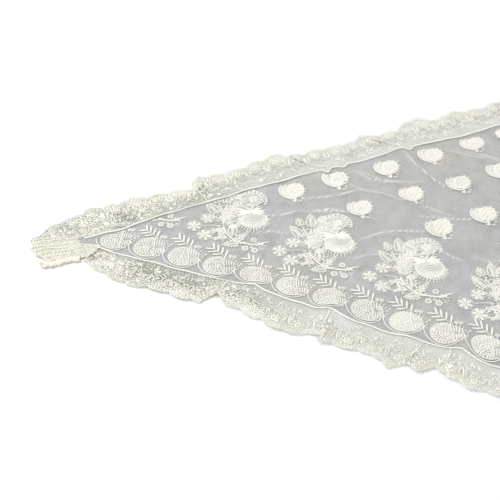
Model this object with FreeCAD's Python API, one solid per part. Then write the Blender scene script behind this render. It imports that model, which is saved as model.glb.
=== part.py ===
"""A triangular lace wedding shawl, laid flat: a net ground with a scalloped lace edging sewn round it.

The ground is a right isosceles triangle. Its long side is worn at the neck, and the two short sides hang
to a point at the back. Every piece is made for the left half, in millimetres from the left field corner,
with X along the neck seam and Y away from the point. The right half is its mirror image, and the halves
meet on the centre line, where the shawl is folded for wear and for storage.
"""
import FreeCAD, Part
import math
import os
from FreeCAD import Vector

# ---- Field: the net triangle inside the seam cords
basket_pitch = 65.0  # from one basket to the next along a short side
basket_count = 17  # baskets on each short side
first_cusp = 26.0  # from the sharp field corner to the first garland cusp
ground_thick = 0.5  # the net, and the ground of the edging
fold_gap = 0.3  # between the two halves on the centre line
fold_clear = 0.4  # from the highest piece to the height of the fold line

# ---- Seam cords, over the join of net and edging
seam_cord_width = 3.5
seam_cord_height = 1.5
cord_start = 6.0  # a cord begins this far inside the gathered end

# ---- Garland: half rings that hang from cusp to cusp, one under each basket
garland_width = 2.0
garland_height = 0.8
garland_clear = 0.75  # from a ring to the seam cord

# ---- Baskets, each with a fern crest
basket_half_width = 24.0
basket_half_height = 19.0
basket_height = 0.8
basket_foot = 6.0
fern_lift = 2.0  # from the basket's top to the fern's stem
fern_stem_length = 24.0
fern_leaflets = 6
fern_leaflet_length = 17.0
fern_leaflet_width = 5.0
fern_height = 0.6
fern_first_lean = 175.0  # degrees from the side seam's direction, at the tip end
fern_last_lean = 95.0
fern_swell = 0.35  # how much longer the middle leaflets are

# ---- Bouquets, along the short sides
bouquet_pitch = 161.0
bouquet_first = 63.0  # from the sharp field corner to the first bouquet's joint
bouquet_inset = 130.0  # from the side seam to the joint of its stems
stem_width = 1.8
stem_height = 0.4
leaf_height = 0.4
bloom_radius = 25.0
bloom_cup_radius = 15.0
rose_radius = 21.0
blossom_radius = 11.0
bud_radius = 5.0
flower_height = 0.7
petal_notch = 0.86  # of a flower's radius, between two petals
motif_clear = 2.0  # least room from a motif to a seam cord or to the centre line

# ---- Sprigs: single roses, scattered on a square grid
sprig_pitch = 94.5
sprig_first_drop = 36.0  # from the neck seam to the first row
sprig_inset = 252.0  # least distance from a side seam to a sprig's centre
sprig_rose_radius = 17.0
sprig_calyx_overlap = 6.5  # the calyx begins this far inside the rose's rim

# ---- Edging: the scalloped lace strip
edging_width = 60.0  # from the seam to a scallop's crest
scallop_pitch = 40.0
scallop_depth = 9.0
edge_cord_width = 2.2
edge_cord_height = 0.8
edging_flower_radius = 10.0
edging_flower_inset = 16.0  # from a scallop's crest to its flower's centre
tuck_scallop_count = 4  # scallops from one tuck to the next
tuck_seam_radius = 1.5
tuck_edge_radius = 7.0
tuck_clear = 3.0  # from a tuck's end to the edge cord

# ---- Gathered tip: where the side edging is pleated in under the end of the neck edging
gather_x = 8.0  # the net stops here
gather_drop = 24.0  # width of the net where it stops
side_start = 40.0  # the side edging begins here, along the side seam
side_start_width = 34.0
tip_reach = 74.0  # from the sharp field corner to the tip's blunt end
tip_half_width = 24.0
tip_lower_drop = 44.0
tip_slant = 8.0  # from the blunt end's upper corner back to its lower one
taper_swell = 5.0  # of the edging's outline, where it narrows to the tip
pleat_count = 5
pleat_seam_radius = 4.6
pleat_end_radius = 3.4
pleat_setback = 5.0  # the pleats stop this far from the net's end
pleat_end_setback = 9.0  # and this far from the blunt end
pleat_fill = 0.94  # of the gathered end's width, taken up by the pleats
stitch_count = 5
stitch_length = 8.0
stitch_width = 1.2
stitch_height = 0.8

# ---- Worked out from the sizes above
ROOT_HALF = math.sqrt(0.5)
garland_radius = basket_pitch / 2
cusp_inset = garland_radius + seam_cord_width / 2 + garland_clear
short_side = first_cusp + basket_count * basket_pitch + cusp_inset + fold_gap
half_field = short_side * ROOT_HALF  # also the field's depth, from neck seam to point
centre_x = half_field - fold_gap / 2  # where the left half stops
cusp_line = edging_width - scallop_depth  # the scallops' cusps, from the seam
cord_top = ground_thick + seam_cord_height
leaf_base = ground_thick + stem_height
flower_base = leaf_base + leaf_height


# ---- Places: on the table, along the neck seam, and along the side seam
def on_neck(along, out):
    """A point by its distance along the neck seam and out from it, into the edging."""
    return Vector(along, out, 0)


def on_side(along, out):
    """A point by its distance along the side seam and out from it; out is negative inside the field."""
    return Vector((along - out) * ROOT_HALF, -(along + out) * ROOT_HALF, 0)


def round_point(angle, radius):
    """A point round the field's corner at the back point; the angle is in degrees from +X."""
    turn = math.radians(angle)
    return Vector(half_field + radius * math.cos(turn), -half_field + radius * math.sin(turn), 0)


# ---- Flat shapes
def arc(start, through, end):
    return Part.Arc(start, through, end).toShape()


def line(start, end):
    return Part.LineSegment(start, end).toShape()


def plate(edges, base, height):
    """The closed outline as a flat solid from height base upwards."""
    face = Part.Face(Part.Wire(edges))
    solid = face.extrude(Vector(0, 0, height))
    solid.translate(Vector(0, 0, base))
    return solid


def polygon(corners, base, height):
    sides = [line(a, b) for a, b in zip(corners, corners[1:] + corners[:1])]
    return plate(sides, base, height)


def bar(start, end, width, base, height):
    """A straight stem or cord with square ends."""
    way = end - start
    across = Vector(-way.y, way.x, 0).normalize() * (width / 2)
    return polygon([start + across, start - across, end - across, end + across], base, height)


def leaf(foot, tip, width, base, height):
    """Two equal arcs from foot to tip."""
    way = tip - foot
    across = Vector(-way.y, way.x, 0).normalize() * (width / 2)
    middle = (foot + tip) * 0.5
    return plate([arc(foot, middle + across, tip), arc(tip, middle - across, foot)], base, height)


def flower(centre, radius, petals, base, height):
    """A round head with one shallow arc for each petal."""
    notch = petal_notch * radius
    step = 2 * math.pi / petals

    def rim(turn, reach):
        return centre + Vector(reach * math.cos(turn), reach * math.sin(turn), 0)

    edges = [arc(rim(k * step, notch), rim((k + 0.5) * step, radius), rim((k + 1) * step, notch))
             for k in range(petals)]
    return plate(edges, base, height)


def band(start, through, end, width, base, height):
    """A cord along the arc from start to end, lying on the arc's inner side."""
    centre = arc(start, through, end).Curve.Center
    shrink = 1 - width / (start - centre).Length
    inner = [centre + (place - centre) * shrink for place in (start, through, end)]
    edges = [arc(start, through, end), line(end, inner[2]), arc(inner[2], inner[1], inner[0]),
             line(inner[0], start)]
    return plate(edges, base, height)


def fused(solids):
    """The solids joined where they overlap or touch."""
    whole = solids[0].multiFuse(solids[1:]) if len(solids) > 1 else solids[0]
    return whole.removeSplitter().Solids


# ---- Where a motif may lie
def inside_neck(place, reach):
    return -place.y > reach + seam_cord_width / 2 + motif_clear


def left_of_fold(place, reach):
    return centre_x - place.x > reach + motif_clear


def side_depth(place):
    """How far inside the side seam a place lies."""
    return (place.x + place.y) * ROOT_HALF


# ---- The ground and the gathered tip
def net():
    corners = [Vector(gather_x, 0, 0), Vector(centre_x, 0, 0), Vector(centre_x, -centre_x, 0),
               on_side(side_start, 0), Vector(gather_x, -gather_drop, 0)]
    return polygon(corners, 0, ground_thick)


def half_cone(start, end, start_radius, end_radius):
    """A fold of cloth that rises from the table: half a cone along the line from start to end."""
    way = end - start
    if abs(start_radius - end_radius) < 0.01:
        cone = Part.makeCylinder(start_radius, way.Length, start, way)
    else:
        cone = Part.makeCone(start_radius, end_radius, way.Length, start, way)
    size = 4 * way.Length
    above = Part.makeBox(size, size, size, start - Vector(size / 2, size / 2, 0))
    return cone.common(above)


def tip_pleats():
    """The side edging's gathered end: a flat foot with the pleats on it."""
    blunt = Vector(-tip_reach, 0, 0)
    foot = [blunt, Vector(gather_x, 0, 0), Vector(gather_x, -gather_drop, 0), on_side(side_start, 0),
            on_side(side_start, side_start_width), Vector(tip_slant - tip_reach, -tip_lower_drop, 0)]
    inner_span = -on_side(side_start, side_start_width).y * pleat_fill / pleat_count
    outer_span = tip_lower_drop * pleat_fill / pleat_count
    pieces = [polygon(foot, 0, ground_thick)]
    for k in range(pleat_count):
        near = Vector(gather_x - pleat_setback, -(k + 0.5) * inner_span, 0)
        far = Vector(pleat_end_setback - tip_reach, -(k + 0.5) * outer_span, 0)
        pieces.append(half_cone(far, near, pleat_end_radius, pleat_seam_radius))
    return fused(pieces)


def tip_stitches():
    """Short threads that hold the net's end to the gathered edging."""
    step = gather_drop / stitch_count
    threads = []
    for k in range(stitch_count):
        middle = Vector(gather_x, -(k + 0.5) * step, 0)
        reach = Vector(stitch_length / 2, 0, 0)
        threads.append(bar(middle - reach, middle + reach, stitch_width, ground_thick, stitch_height))
    return threads


# ---- The edging
def neck_scallops():
    """(cusp, crest, cusp) of each scallop, from the centre line to the tip."""
    count = int((half_field - gather_x) / scallop_pitch)
    scallops = []
    for k in range(count):
        right = half_field - k * scallop_pitch
        scallops.append((on_neck(right, cusp_line), on_neck(right - scallop_pitch / 2, edging_width),
                         on_neck(right - scallop_pitch, cusp_line)))
    return scallops


def side_scallops():
    """(cusp, crest, cusp) of each scallop, from the point's own one to the tip."""
    scallops = [(round_point(-90, cusp_line), round_point(-112.5, edging_width),
                 round_point(-135, cusp_line))]
    count = int((short_side - side_start - scallop_depth) / scallop_pitch)
    for k in range(count):
        right = short_side - k * scallop_pitch
        scallops.append((on_side(right, cusp_line), on_side(right - scallop_pitch / 2, edging_width),
                         on_side(right - scallop_pitch, cusp_line)))
    return scallops


def left_of_centre(solid):
    """The solid without what lies past the centre line."""
    size = 4 * half_field
    half = Part.makeBox(size, size, size, Vector(centre_x - size, -size / 2, -size / 2))
    return solid.common(half).Solids[0]


def tucks(scallops, seam_point):
    """Folds that ease the edging's fullness, from the seam out to every few cusps."""
    folds = []
    for _, _, cusp in scallops[tuck_scallop_count - 1::tuck_scallop_count]:
        foot = seam_point(cusp)
        outward = (cusp - foot).normalize()
        start = foot + outward * seam_cord_width
        end = cusp - outward * (edge_cord_width + tuck_clear)
        folds.append(half_cone(start, end, tuck_seam_radius, tuck_edge_radius))
    return folds


def neck_edging():
    scallops = neck_scallops()
    last = scallops[-1][2]
    blunt = on_neck(-tip_reach, tip_half_width)
    halfway = (last + blunt) * 0.5
    edges = [line(on_neck(-tip_reach, 0), on_neck(half_field, 0)),
             line(on_neck(half_field, 0), scallops[0][0])]
    edges += [arc(*scallop) for scallop in scallops]
    swell = Vector(0, taper_swell, 0)
    edges += [arc(last, (last + halfway) * 0.5 + swell, halfway),
              arc(halfway, (halfway + blunt) * 0.5 + swell, blunt),
              line(blunt, on_neck(-tip_reach, 0))]
    strip = plate(edges, 0, ground_thick)
    folds = tucks(scallops, lambda cusp: on_neck(cusp.x, 0))
    return [left_of_centre(solid) for solid in fused([strip] + folds)]


def side_edging():
    scallops = side_scallops()
    last = scallops[-1][2]
    start_out = on_side(side_start, side_start_width)
    corner = on_side(short_side, 0)
    swell = (last + start_out) * 0.5 + on_side(0, taper_swell)
    edges = [line(on_side(side_start, 0), corner), line(corner, scallops[0][0])]
    edges += [arc(*scallop) for scallop in scallops]
    edges += [arc(last, swell, start_out), line(start_out, on_side(side_start, 0))]
    strip = plate(edges, 0, ground_thick)
    straight = scallops[1:]
    folds = tucks(straight, lambda cusp: on_side((cusp.x - cusp.y) * ROOT_HALF, 0))
    return [left_of_centre(solid) for solid in fused([strip] + folds)]


def edge_cord(scallops):
    """The corded outline of the scallops, one piece for each."""
    cords = [band(*scallop, edge_cord_width, ground_thick, edge_cord_height) for scallop in scallops]
    return [left_of_centre(cord) for cord in cords]


def edging_flowers(scallops):
    """One flower inside each scallop."""
    heads = []
    for start, crest, end in scallops:
        inward = ((start + end) * 0.5 - crest).normalize()
        centre = crest + inward * edging_flower_inset
        if left_of_fold(centre, edging_flower_radius):
            heads.append(flower(centre, edging_flower_radius, 6, ground_thick, flower_height))
    return heads


# ---- Cords on the seams
def seam_cord(start, end):
    return [left_of_centre(bar(start, end, seam_cord_width, ground_thick, seam_cord_height))]


def neck_seam_cord():
    return seam_cord(on_neck(gather_x + cord_start, 0), on_neck(half_field, 0))


def side_seam_cord():
    return seam_cord(on_side(side_start + cord_start, 0), on_side(short_side, 0))


# ---- Baskets
def garland():
    """Half rings from cusp to cusp."""
    rings = []
    for k in range(basket_count):
        left = first_cusp + k * basket_pitch
        middle = left + garland_radius
        start = on_side(left, -cusp_inset)
        bottom = on_side(middle, garland_radius - cusp_inset)
        end = on_side(left + basket_pitch, -cusp_inset)
        if inside_neck(start, 0):
            rings.append(band(start, bottom, end, garland_width, ground_thick, garland_height))
    return rings


def basket_centre(k):
    inset = cusp_inset - garland_radius + garland_width + basket_foot + basket_half_height
    return on_side(first_cusp + (k + 0.5) * basket_pitch, -inset)


def baskets():
    """An oval body over each ring's hollow."""
    bodies = []
    for k in range(basket_count):
        centre = basket_centre(k)
        long_way = on_side(1, 0) * basket_half_width
        short_way = on_side(0, -1) * basket_half_height
        oval = Part.Ellipse(centre + long_way, centre + short_way, centre).toShape()
        if inside_neck(centre, basket_half_width) and left_of_fold(centre, basket_half_width):
            bodies.append(plate([oval], ground_thick, basket_height))
    return bodies


def fern(centre):
    """A stem over the basket with leaflets that fan from the tip end round to the field."""
    stem_inset = basket_half_height + fern_lift
    origin = centre + on_side(0, -stem_inset)
    half = fern_stem_length / 2
    pieces = [bar(origin + on_side(-half, 0), origin + on_side(half, 0), stem_width, ground_thick,
                  fern_height)]
    for j in range(fern_leaflets):
        share = j / max(1, fern_leaflets - 1)
        turn = math.radians(fern_first_lean + (fern_last_lean - fern_first_lean) * share)
        foot = origin + on_side((half - stem_width / 2) * (2 * share - 1), 0)
        reach = fern_leaflet_length * (1 - fern_swell / 2 + fern_swell * math.sin(math.pi * share))
        tip = foot + on_side(reach * math.cos(turn), -reach * math.sin(turn))
        pieces.append(leaf(foot, tip, fern_leaflet_width, ground_thick, fern_height))
    return fused(pieces)


def basket_ferns():
    reach = fern_stem_length / 2 + fern_leaflet_length
    crests = []
    for k in range(basket_count):
        centre = basket_centre(k)
        top = centre + on_side(0, -basket_half_height - fern_lift)
        if inside_neck(top, reach) and left_of_fold(top, reach):
            crests += fern(centre)
    return crests


# ---- Bouquets. A place in a bouquet is (along the side, into the field) from the joint of its stems.
BLOOM = (39, 33)
BLOOM_CUP = (37, 43)
ROSE = (20, 79)
BLOSSOMS = [(-35, 6), (-49, -22), (-17, -36)]
BUDS = [(60, -15), (60, -40), (77, -44)]
BRANCH = [(12, -46), (52, -32), (88, -15)]  # from the end of a stem
LEAVES = [  # foot, tip and width of each
    ((-24, 32), (-52, 52), 13),
    ((-24, 46), (-44, 78), 13),
    ((-10, 56), (-24, 92), 12),
    ((10, -2), (34, -34), 14),
    ((2, -38), (34, -56), 10),
    ((-8, 14), (-26, 20), 8),
]
STEMS = [(-22, 31), (-22, 45), (-9, 55), (14, 56), (16, 14), (-26, 3), (-40, -16), (-10, -27), BRANCH[0]]
POINT_BLOSSOM = (-14, 183)  # from the field's corner at the back point
POINT_LEAF = ((-5, 125), (-26, 166), 12)


def bouquet_joints():
    """Distances along the side of the bouquets' joints, while a whole bouquet fits before the point."""
    last = short_side - bouquet_inset - ROSE[1]
    count = int((last - bouquet_first - ROSE[0] - rose_radius) / bouquet_pitch) + 1
    return [bouquet_first + k * bouquet_pitch for k in range(count)]


def in_bouquet(joint, place):
    return on_side(joint + place[0], -(bouquet_inset + place[1]))


def in_field(place, reach):
    return inside_neck(place, reach) and left_of_fold(place, reach)


def bouquet_heads(centre, radius, petals):
    places = [in_bouquet(joint, centre) for joint in bouquet_joints()]
    return [flower(place, radius, petals, flower_base, flower_height)
            for place in places if in_field(place, radius)]


def bouquet_blooms():
    """A frilled head with a cup of petals on it."""
    heads = bouquet_heads(BLOOM, bloom_radius, 11)
    places = [in_bouquet(joint, BLOOM_CUP) for joint in bouquet_joints()]
    cups = [flower(place, bloom_cup_radius, 7, flower_base + flower_height, flower_height / 2)
            for place in places if in_field(place, bloom_radius)]
    return heads + cups


def bouquet_roses():
    return bouquet_heads(ROSE, rose_radius, 8)


def at_point(place):
    return Vector(half_field + place[0], -half_field + place[1], 0)


def bouquet_blossoms():
    heads = [head for place in BLOSSOMS for head in bouquet_heads(place, blossom_radius, 5)]
    heads.append(flower(at_point(POINT_BLOSSOM), blossom_radius, 5, flower_base, flower_height))
    return heads


def bouquet_buds():
    return [head for place in BUDS for head in bouquet_heads(place, bud_radius, 4)]


def bouquet_leaves():
    foot, tip, width = POINT_LEAF
    blades = [leaf(at_point(foot), at_point(tip), width, leaf_base, leaf_height)]
    for joint in bouquet_joints():
        for foot, tip, width in LEAVES:
            low, high = in_bouquet(joint, foot), in_bouquet(joint, tip)
            if in_field(low, width / 2) and in_field(high, width / 2):
                blades.append(leaf(low, high, width, leaf_base, leaf_height))
    return blades


def bouquet_branches():
    """The stems of each bouquet, joined, and its curved branch, which the neck seam cuts short by the tip."""
    stems = []
    for joint in bouquet_joints():
        runs = [((0, 0), place) for place in STEMS] + list(zip(BRANCH, BRANCH[1:]))
        ends = [(in_bouquet(joint, start), in_bouquet(joint, end)) for start, end in runs]
        pieces = [bar(start, end, stem_width, ground_thick, stem_height) for start, end in ends
                  if in_field(start, stem_width) and in_field(end, stem_width)]
        if pieces:
            stems += fused(pieces)
    return stems


# ---- Sprigs
def sprig_places():
    """Centres on a square grid that is symmetric about the centre line."""
    places = []
    rows = int(half_field / sprig_pitch)
    for row in range(rows):
        for column in range(rows):
            across = half_field - (column + 0.5) * sprig_pitch
            place = Vector(across, -sprig_first_drop - row * sprig_pitch, 0)
            if side_depth(place) > sprig_inset:
                places.append(place)
    return places


def sprig_roses():
    return [flower(place, sprig_rose_radius, 6, leaf_base, flower_height) for place in sprig_places()]


CALYX_LEAVES = [  # foot, tip and width of each, from the calyx's foot
    ((3, 0), (10, -20), 9),
    ((10, -5), (21, -12), 5),
]


def sprig_calyxes():
    """A stalk leaf and a side leaf under each rose."""
    blades = []
    for place in sprig_places():
        foot = place - Vector(0, sprig_rose_radius - sprig_calyx_overlap, 0)
        for low, high, width in CALYX_LEAVES:
            blades.append(leaf(foot + Vector(*low, 0), foot + Vector(*high, 0), width, ground_thick,
                               stem_height))
    return blades


# ---- Both halves, placed and written
LEFT_NODES = {
    "net": lambda: [net()],
    "neck_edging": neck_edging,
    "side_edging": side_edging,
    "tip_pleats": tip_pleats,
    "tip_stitches": tip_stitches,
    "neck_seam_cord": neck_seam_cord,
    "side_seam_cord": side_seam_cord,
    "garland": garland,
    "baskets": baskets,
    "basket_ferns": basket_ferns,
    "bouquet_branches": bouquet_branches,
    "bouquet_leaves": bouquet_leaves,
    "bouquet_blooms": bouquet_blooms,
    "bouquet_roses": bouquet_roses,
    "bouquet_blossoms": bouquet_blossoms,
    "bouquet_buds": bouquet_buds,
    "sprig_roses": sprig_roses,
    "sprig_calyxes": sprig_calyxes,
    "neck_edge_cord": lambda: edge_cord(neck_scallops()),
    "side_edge_cord": lambda: edge_cord(side_scallops()),
    "neck_edging_flowers": lambda: edging_flowers(neck_scallops()),
    "side_edging_flowers": lambda: edging_flowers(side_scallops()),
}


def main():
    os.makedirs("parts", exist_ok=True)
    made = {name: Part.makeCompound(make()) for name, make in LEFT_NODES.items()}
    box = Part.makeCompound(list(made.values())).BoundBox
    home = Vector(-half_field, -(box.YMin + box.YMax) / 2, 0)
    for name, left in made.items():
        left.translate(home)
        right = left.mirror(Vector(0, 0, 0), Vector(1, 0, 0))
        for shape, half in ((left, "left"), (right, "right")):
            shape.exportStep(f"parts/{name}_{half}.step")
        print(name, len(left.Solids), "solids, valid", left.isValid() and right.isValid())
    print("neck seam at y", round(home.y, 3), "half field", round(half_field, 3))
    print("size", round(2 * box.XLength + fold_gap, 2), round(box.YLength, 2), round(box.ZMax, 2))
    print("fold line at z", round(box.ZMax + fold_clear, 2))


main()
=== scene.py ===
# %% [markdown]
# A triangular lace wedding shawl, laid out on a table. It is a large triangle of fine net with flowers worked
# into it, and a wide scalloped lace edging is sewn round it under a raised cord. The solid model holds the
# sizes: here each piece gets the shape of real lace, and the whole shawl its creases, ruffles and tucks.

# %% Open the frame
import math

import bpy
import numpy as np
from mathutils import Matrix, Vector


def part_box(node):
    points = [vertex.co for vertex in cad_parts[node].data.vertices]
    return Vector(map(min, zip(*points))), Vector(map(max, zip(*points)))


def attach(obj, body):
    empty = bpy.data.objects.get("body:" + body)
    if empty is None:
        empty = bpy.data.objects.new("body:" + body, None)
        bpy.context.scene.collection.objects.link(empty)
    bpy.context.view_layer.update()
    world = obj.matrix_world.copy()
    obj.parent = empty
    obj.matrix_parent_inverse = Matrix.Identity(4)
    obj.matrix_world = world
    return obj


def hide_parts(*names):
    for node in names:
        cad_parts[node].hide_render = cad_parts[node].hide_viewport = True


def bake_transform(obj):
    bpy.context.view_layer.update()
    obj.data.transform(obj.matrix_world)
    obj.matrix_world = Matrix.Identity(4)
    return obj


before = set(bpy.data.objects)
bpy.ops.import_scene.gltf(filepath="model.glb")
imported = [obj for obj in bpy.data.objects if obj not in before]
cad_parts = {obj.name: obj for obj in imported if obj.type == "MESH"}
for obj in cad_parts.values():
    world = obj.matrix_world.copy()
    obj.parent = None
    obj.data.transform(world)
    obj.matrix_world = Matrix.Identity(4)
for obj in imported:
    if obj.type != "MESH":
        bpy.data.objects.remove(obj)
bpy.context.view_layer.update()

# %% [markdown]
# Lace is drawn flat and then sewn, so every piece here is first laid out flat, in millimetres. There are two
# kinds of flat place. One is on the table, with x from the centre line and y up from the neck seam. The other
# is along a strip of edging, with the distance along its seam and the distance out from it. The main sizes
# come from the boxes of the solid model.

# %% Sizes
MM = 0.001
ROOT_HALF = math.sqrt(0.5)
FOLD_GAP = 0.3  # between the two halves of the solid net
neck_low, neck_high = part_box("neck_seam_cord_left")
net_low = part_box("net_left")[0]
NECK_Y = (neck_low[1] + neck_high[1]) / 2 / MM
HALF = NECK_Y - net_low[1] / MM + FOLD_GAP / 2
SIDE = HALF / ROOT_HALF
EDGE = 60.0  # the edging's width
BASKET_PITCH = 65.0
FIRST_CUSP = 26.0  # where the border's first half ring starts, along the side seam
SCALLOP = 40.0
HALVES = ((False, "left"), (True, "right"))  # whether it is the right half, and its name
print(f"half the neck seam {HALF:.1f} mm, side seam {SIDE:.1f} mm")


def from_corner(x, y):
    """A flat place given from the shawl's left field corner."""
    return np.asarray(x) - HALF, np.asarray(y)


def from_side(along, out):
    """A flat place given along the left side seam and out from it."""
    along, out = np.asarray(along), np.asarray(out)
    return from_corner((along - out) * ROOT_HALF, -(along + out) * ROOT_HALF)

# %% [markdown]
# A laid-out shawl is never quite flat. The seams wander by a few millimetres, with a sharp notch where a
# crease or tuck pulls, and long soft creases run through the net where it was folded. Cloth simulation would
# make creases, but not these ones in these places. So the shape is a height over the table, made of slow
# swells and a few creases whose courses are listed, and a small sideways shift along the seams.

# %% The way the seams wander
NECK_WANDER = [  # place along the seam, and how far the seam lies above its true line
    (-900, 0), (-790, -7), (-740, -9), (-684, -2), (-632, 0), (-594, 0), (-555, 1), (-502, 4), (-441, 4),
    (-397, 3), (-373, 5), (-350, 4), (-317, 2), (-281, -2), (-234, -1), (-206, 1), (-178, 5), (-141, -1),
    (-117, -2), (-94, -5), (-26, -9), (0, -8), (90, -2), (180, 5), (300, 1), (390, -5), (500, 3), (610, 7),
    (700, 0), (790, -5), (900, 0),
]
SIDE_WANDER = [  # the same for the left side seam, from the sharp corner
    (0, 4), (71, 6), (152, 2), (255, -3), (331, -13), (366, -8), (418, -8), (436, -2), (448, -6), (460, -14),
    (474, -9), (494, -6), (515, -3), (556, 0), (577, -2), (600, -8), (617, -3), (646, -1), (663, -6),
    (676, -12), (688, -6), (700, 0), (720, 3), (790, 5), (900, -3), (1010, 4), (1100, 3), (1166, 0),
]
RIGHT_SIDE_WANDER = [
    (0, 3), (120, -5), (240, 4), (380, 7), (500, -3), (620, -8), (760, 0), (880, 6), (990, -2), (1100, -3),
    (1166, 0),
]
NECK_NOTCHES = [(-340, -11), (-306, -7), (-163, -9)]  # where a crease pulls the seam in sharply
NOTCH_WIDTH = 7.5
SIDE_CUSPS = [331, 460, 676]  # where a tuck does
CUSP_DEPTH, CUSP_WIDTH = 5.0, 11
SEAM_HOLD, NOTCH_HOLD = 45.0, 14.0  # how far into the net a seam's shift is felt


def follow(knots, place):
    """A smooth value between listed (place, value) pairs."""
    at, value = np.array(knots, float).T
    place = np.asarray(place, float)
    shares = [np.interp(place + step, at, value) for step in (-12, -6, 0, 6, 12)]
    return sum(shares) / len(shares)


def side_wander(along, right=False):
    """How far a side seam lies outside its true line; small cusps point inwards where a tuck pulls."""
    if right:
        return follow(RIGHT_SIDE_WANDER, along)
    pulled = sum(np.exp(-np.abs(along - place) / CUSP_WIDTH) for place in SIDE_CUSPS)
    return follow(SIDE_WANDER, along) - CUSP_DEPTH * pulled


def neck_notches(x):
    """The sharp notches of the neck seam, on top of its slow wander."""
    return sum(deep * np.exp(-((x - place) / NOTCH_WIDTH) ** 2) for place, deep in NECK_NOTCHES)


def wander(x, y):
    """Flat places of the field, moved with the seams beside them."""
    left = x < 0
    mirrored = np.where(left, x, -x)
    along, out = (mirrored + HALF - y) * ROOT_HALF, -(mirrored + HALF + y) * ROOT_HALF
    side_shift = np.where(left, side_wander(along), side_wander(along, True))
    side_shift = side_shift * np.exp(-(out / SEAM_HOLD) ** 2)
    neck_shift = follow(NECK_WANDER, x) * np.exp(-(y / SEAM_HOLD) ** 2)
    neck_shift = neck_shift + neck_notches(x) * np.exp(-(y / NOTCH_HOLD) ** 2)
    outward = np.where(left, -ROOT_HALF, ROOT_HALF)
    return x + side_shift * outward, y - side_shift * ROOT_HALF + neck_shift


print("neck seam at x = -500 is moved", round(float(follow(NECK_WANDER, -500)), 1), "mm")

# %% The heights of swells and creases
CREASES = [  # height, half width and course of each, from the left field corner
    (3.0, 5, [(517, -8), (547, -37), (569, -75), (645, -109)]),
    (2.8, 5, [(468, -4), (500, -49), (519, -78), (553, -105), (577, -136), (618, -190)]),
    (2.4, 6, [(403, -57), (456, -73), (519, -78)]),
    (3.2, 6, [(648, -6), (648, -50), (657, -108), (670, -138), (706, -159)]),
    (2.4, 7, [(455, -193), (495, -193), (530, -202), (577, -224), (605, -244)]),
    (2.6, 5, [(730, -35), (763, -72), (800, -95)]),
    (2.0, 6, [(390, -87), (439, -108), (463, -120), (510, -165)]),
    (1.8, 8, [(300, -60), (345, -82), (392, -86)]),
    (1.8, 9, [(600, -300), (640, -330), (700, -345), (770, -340)]),
    (1.6, 9, [(560, -170), (640, -215), (720, -250)]),
    (1.8, 5, [(528, -22), (549, -60), (600, -88)]),
    (2.2, 6, [(746, -36), (790, -84), (830, -150)]),
    (1.4, 6, [(400, -93), (441, -102), (475, -128)]),
    (1.6, 6, [(290, -107), (322, -115), (350, -135)]),
    (1.6, 6, [(596, -147), (614, -177), (640, -208)]),
    (1.3, 6, [(425, -231), (459, -234), (490, -252)]),
    (1.5, 7, [(566, -260), (581, -295), (600, -316)]),
]
FAR_CREASES = [  # the same, on the right half, from the centre line
    (2.6, 6, [(60, -10), (95, -70), (150, -120), (170, -190)]),
    (2.4, 6, [(190, -5), (205, -60), (260, -110)]),
    (2.2, 7, [(330, -12), (350, -80), (420, -140)]),
    (2.4, 6, [(20, -260), (90, -300), (180, -310)]),
    (2.0, 8, [(470, -30), (520, -70), (560, -130)]),
    (1.8, 8, [(-60, -420), (20, -450), (120, -470)]),
]
RESTING = 0.4  # the least height of the cloth over the table
PINCH_WIDTH = 1.6


def course(x, y, points):
    """Distance to a course, and the share of the course that is nearest."""
    points = np.array(points, float)
    lengths = np.hypot(*np.diff(points, axis=0).T)
    begun = np.concatenate([[0], np.cumsum(lengths)])
    best, share = np.full(x.shape, 1e9), np.zeros(x.shape)
    for k in range(len(points) - 1):
        (ax, ay), (bx, by) = points[k], points[k + 1]
        t = np.clip(((x - ax) * (bx - ax) + (y - ay) * (by - ay)) / lengths[k] ** 2, 0, 1)
        away = np.hypot(x - ax - t * (bx - ax), y - ay - t * (by - ay))
        nearer = away < best
        best = np.where(nearer, away, best)
        share = np.where(nearer, (begun[k] + t * lengths[k]) / begun[-1], share)
    return best, share


def folds(x, y):
    """Height of the creases, and how sharply the net is pinched there."""
    height, pinch = np.zeros(x.shape), np.zeros(x.shape)
    left = [(h, w, [(px - HALF, py) for px, py in line]) for h, w, line in CREASES]
    for tall, wide, line in left + FAR_CREASES:
        away, share = course(x, y, line)
        fade = np.sin(np.pi * np.clip(share * 0.86 + 0.07, 0, 1)) ** 0.7
        height = np.maximum(height, tall * fade * np.exp(-(away / wide) ** 2))
        pinch = np.maximum(pinch, fade * np.exp(-(away / PINCH_WIDTH) ** 2))
    return height, pinch


def swell(x, y):
    """The slow swells of cloth that was laid down and not pressed."""
    slow = np.sin(x / 83 + 1.4 * np.sin(y / 117)) * np.cos(y / 71 - x / 190)
    quick = np.sin(x / 29 + y / 47 + 2 * np.sin(y / 90)) * np.sin(y / 36 - x / 61)
    return 0.75 * (1 + slow) + 0.35 * (1 + quick)


def field_height(x, y):
    """How high the cloth of the field lies over the table."""
    return RESTING + swell(x, y) + folds(x, y)[0]


sample = np.linspace(-700, 700, 200)
print("the net rises to", round(float(field_height(sample, np.full(200, -60.0)).max()), 1), "mm")

# %% [markdown]
# The edging is fuller than the seam it is sewn to, so its free edge waves, and here and there it is laid over
# in a tuck. A tuck is a Z fold: the strip runs forward, back under itself and forward again. At the seam the
# fold has no depth, and it deepens outwards. How far the edge reaches also changes from one tuck to the next,
# which is what makes the stepped outline of an old lace edging.

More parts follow.
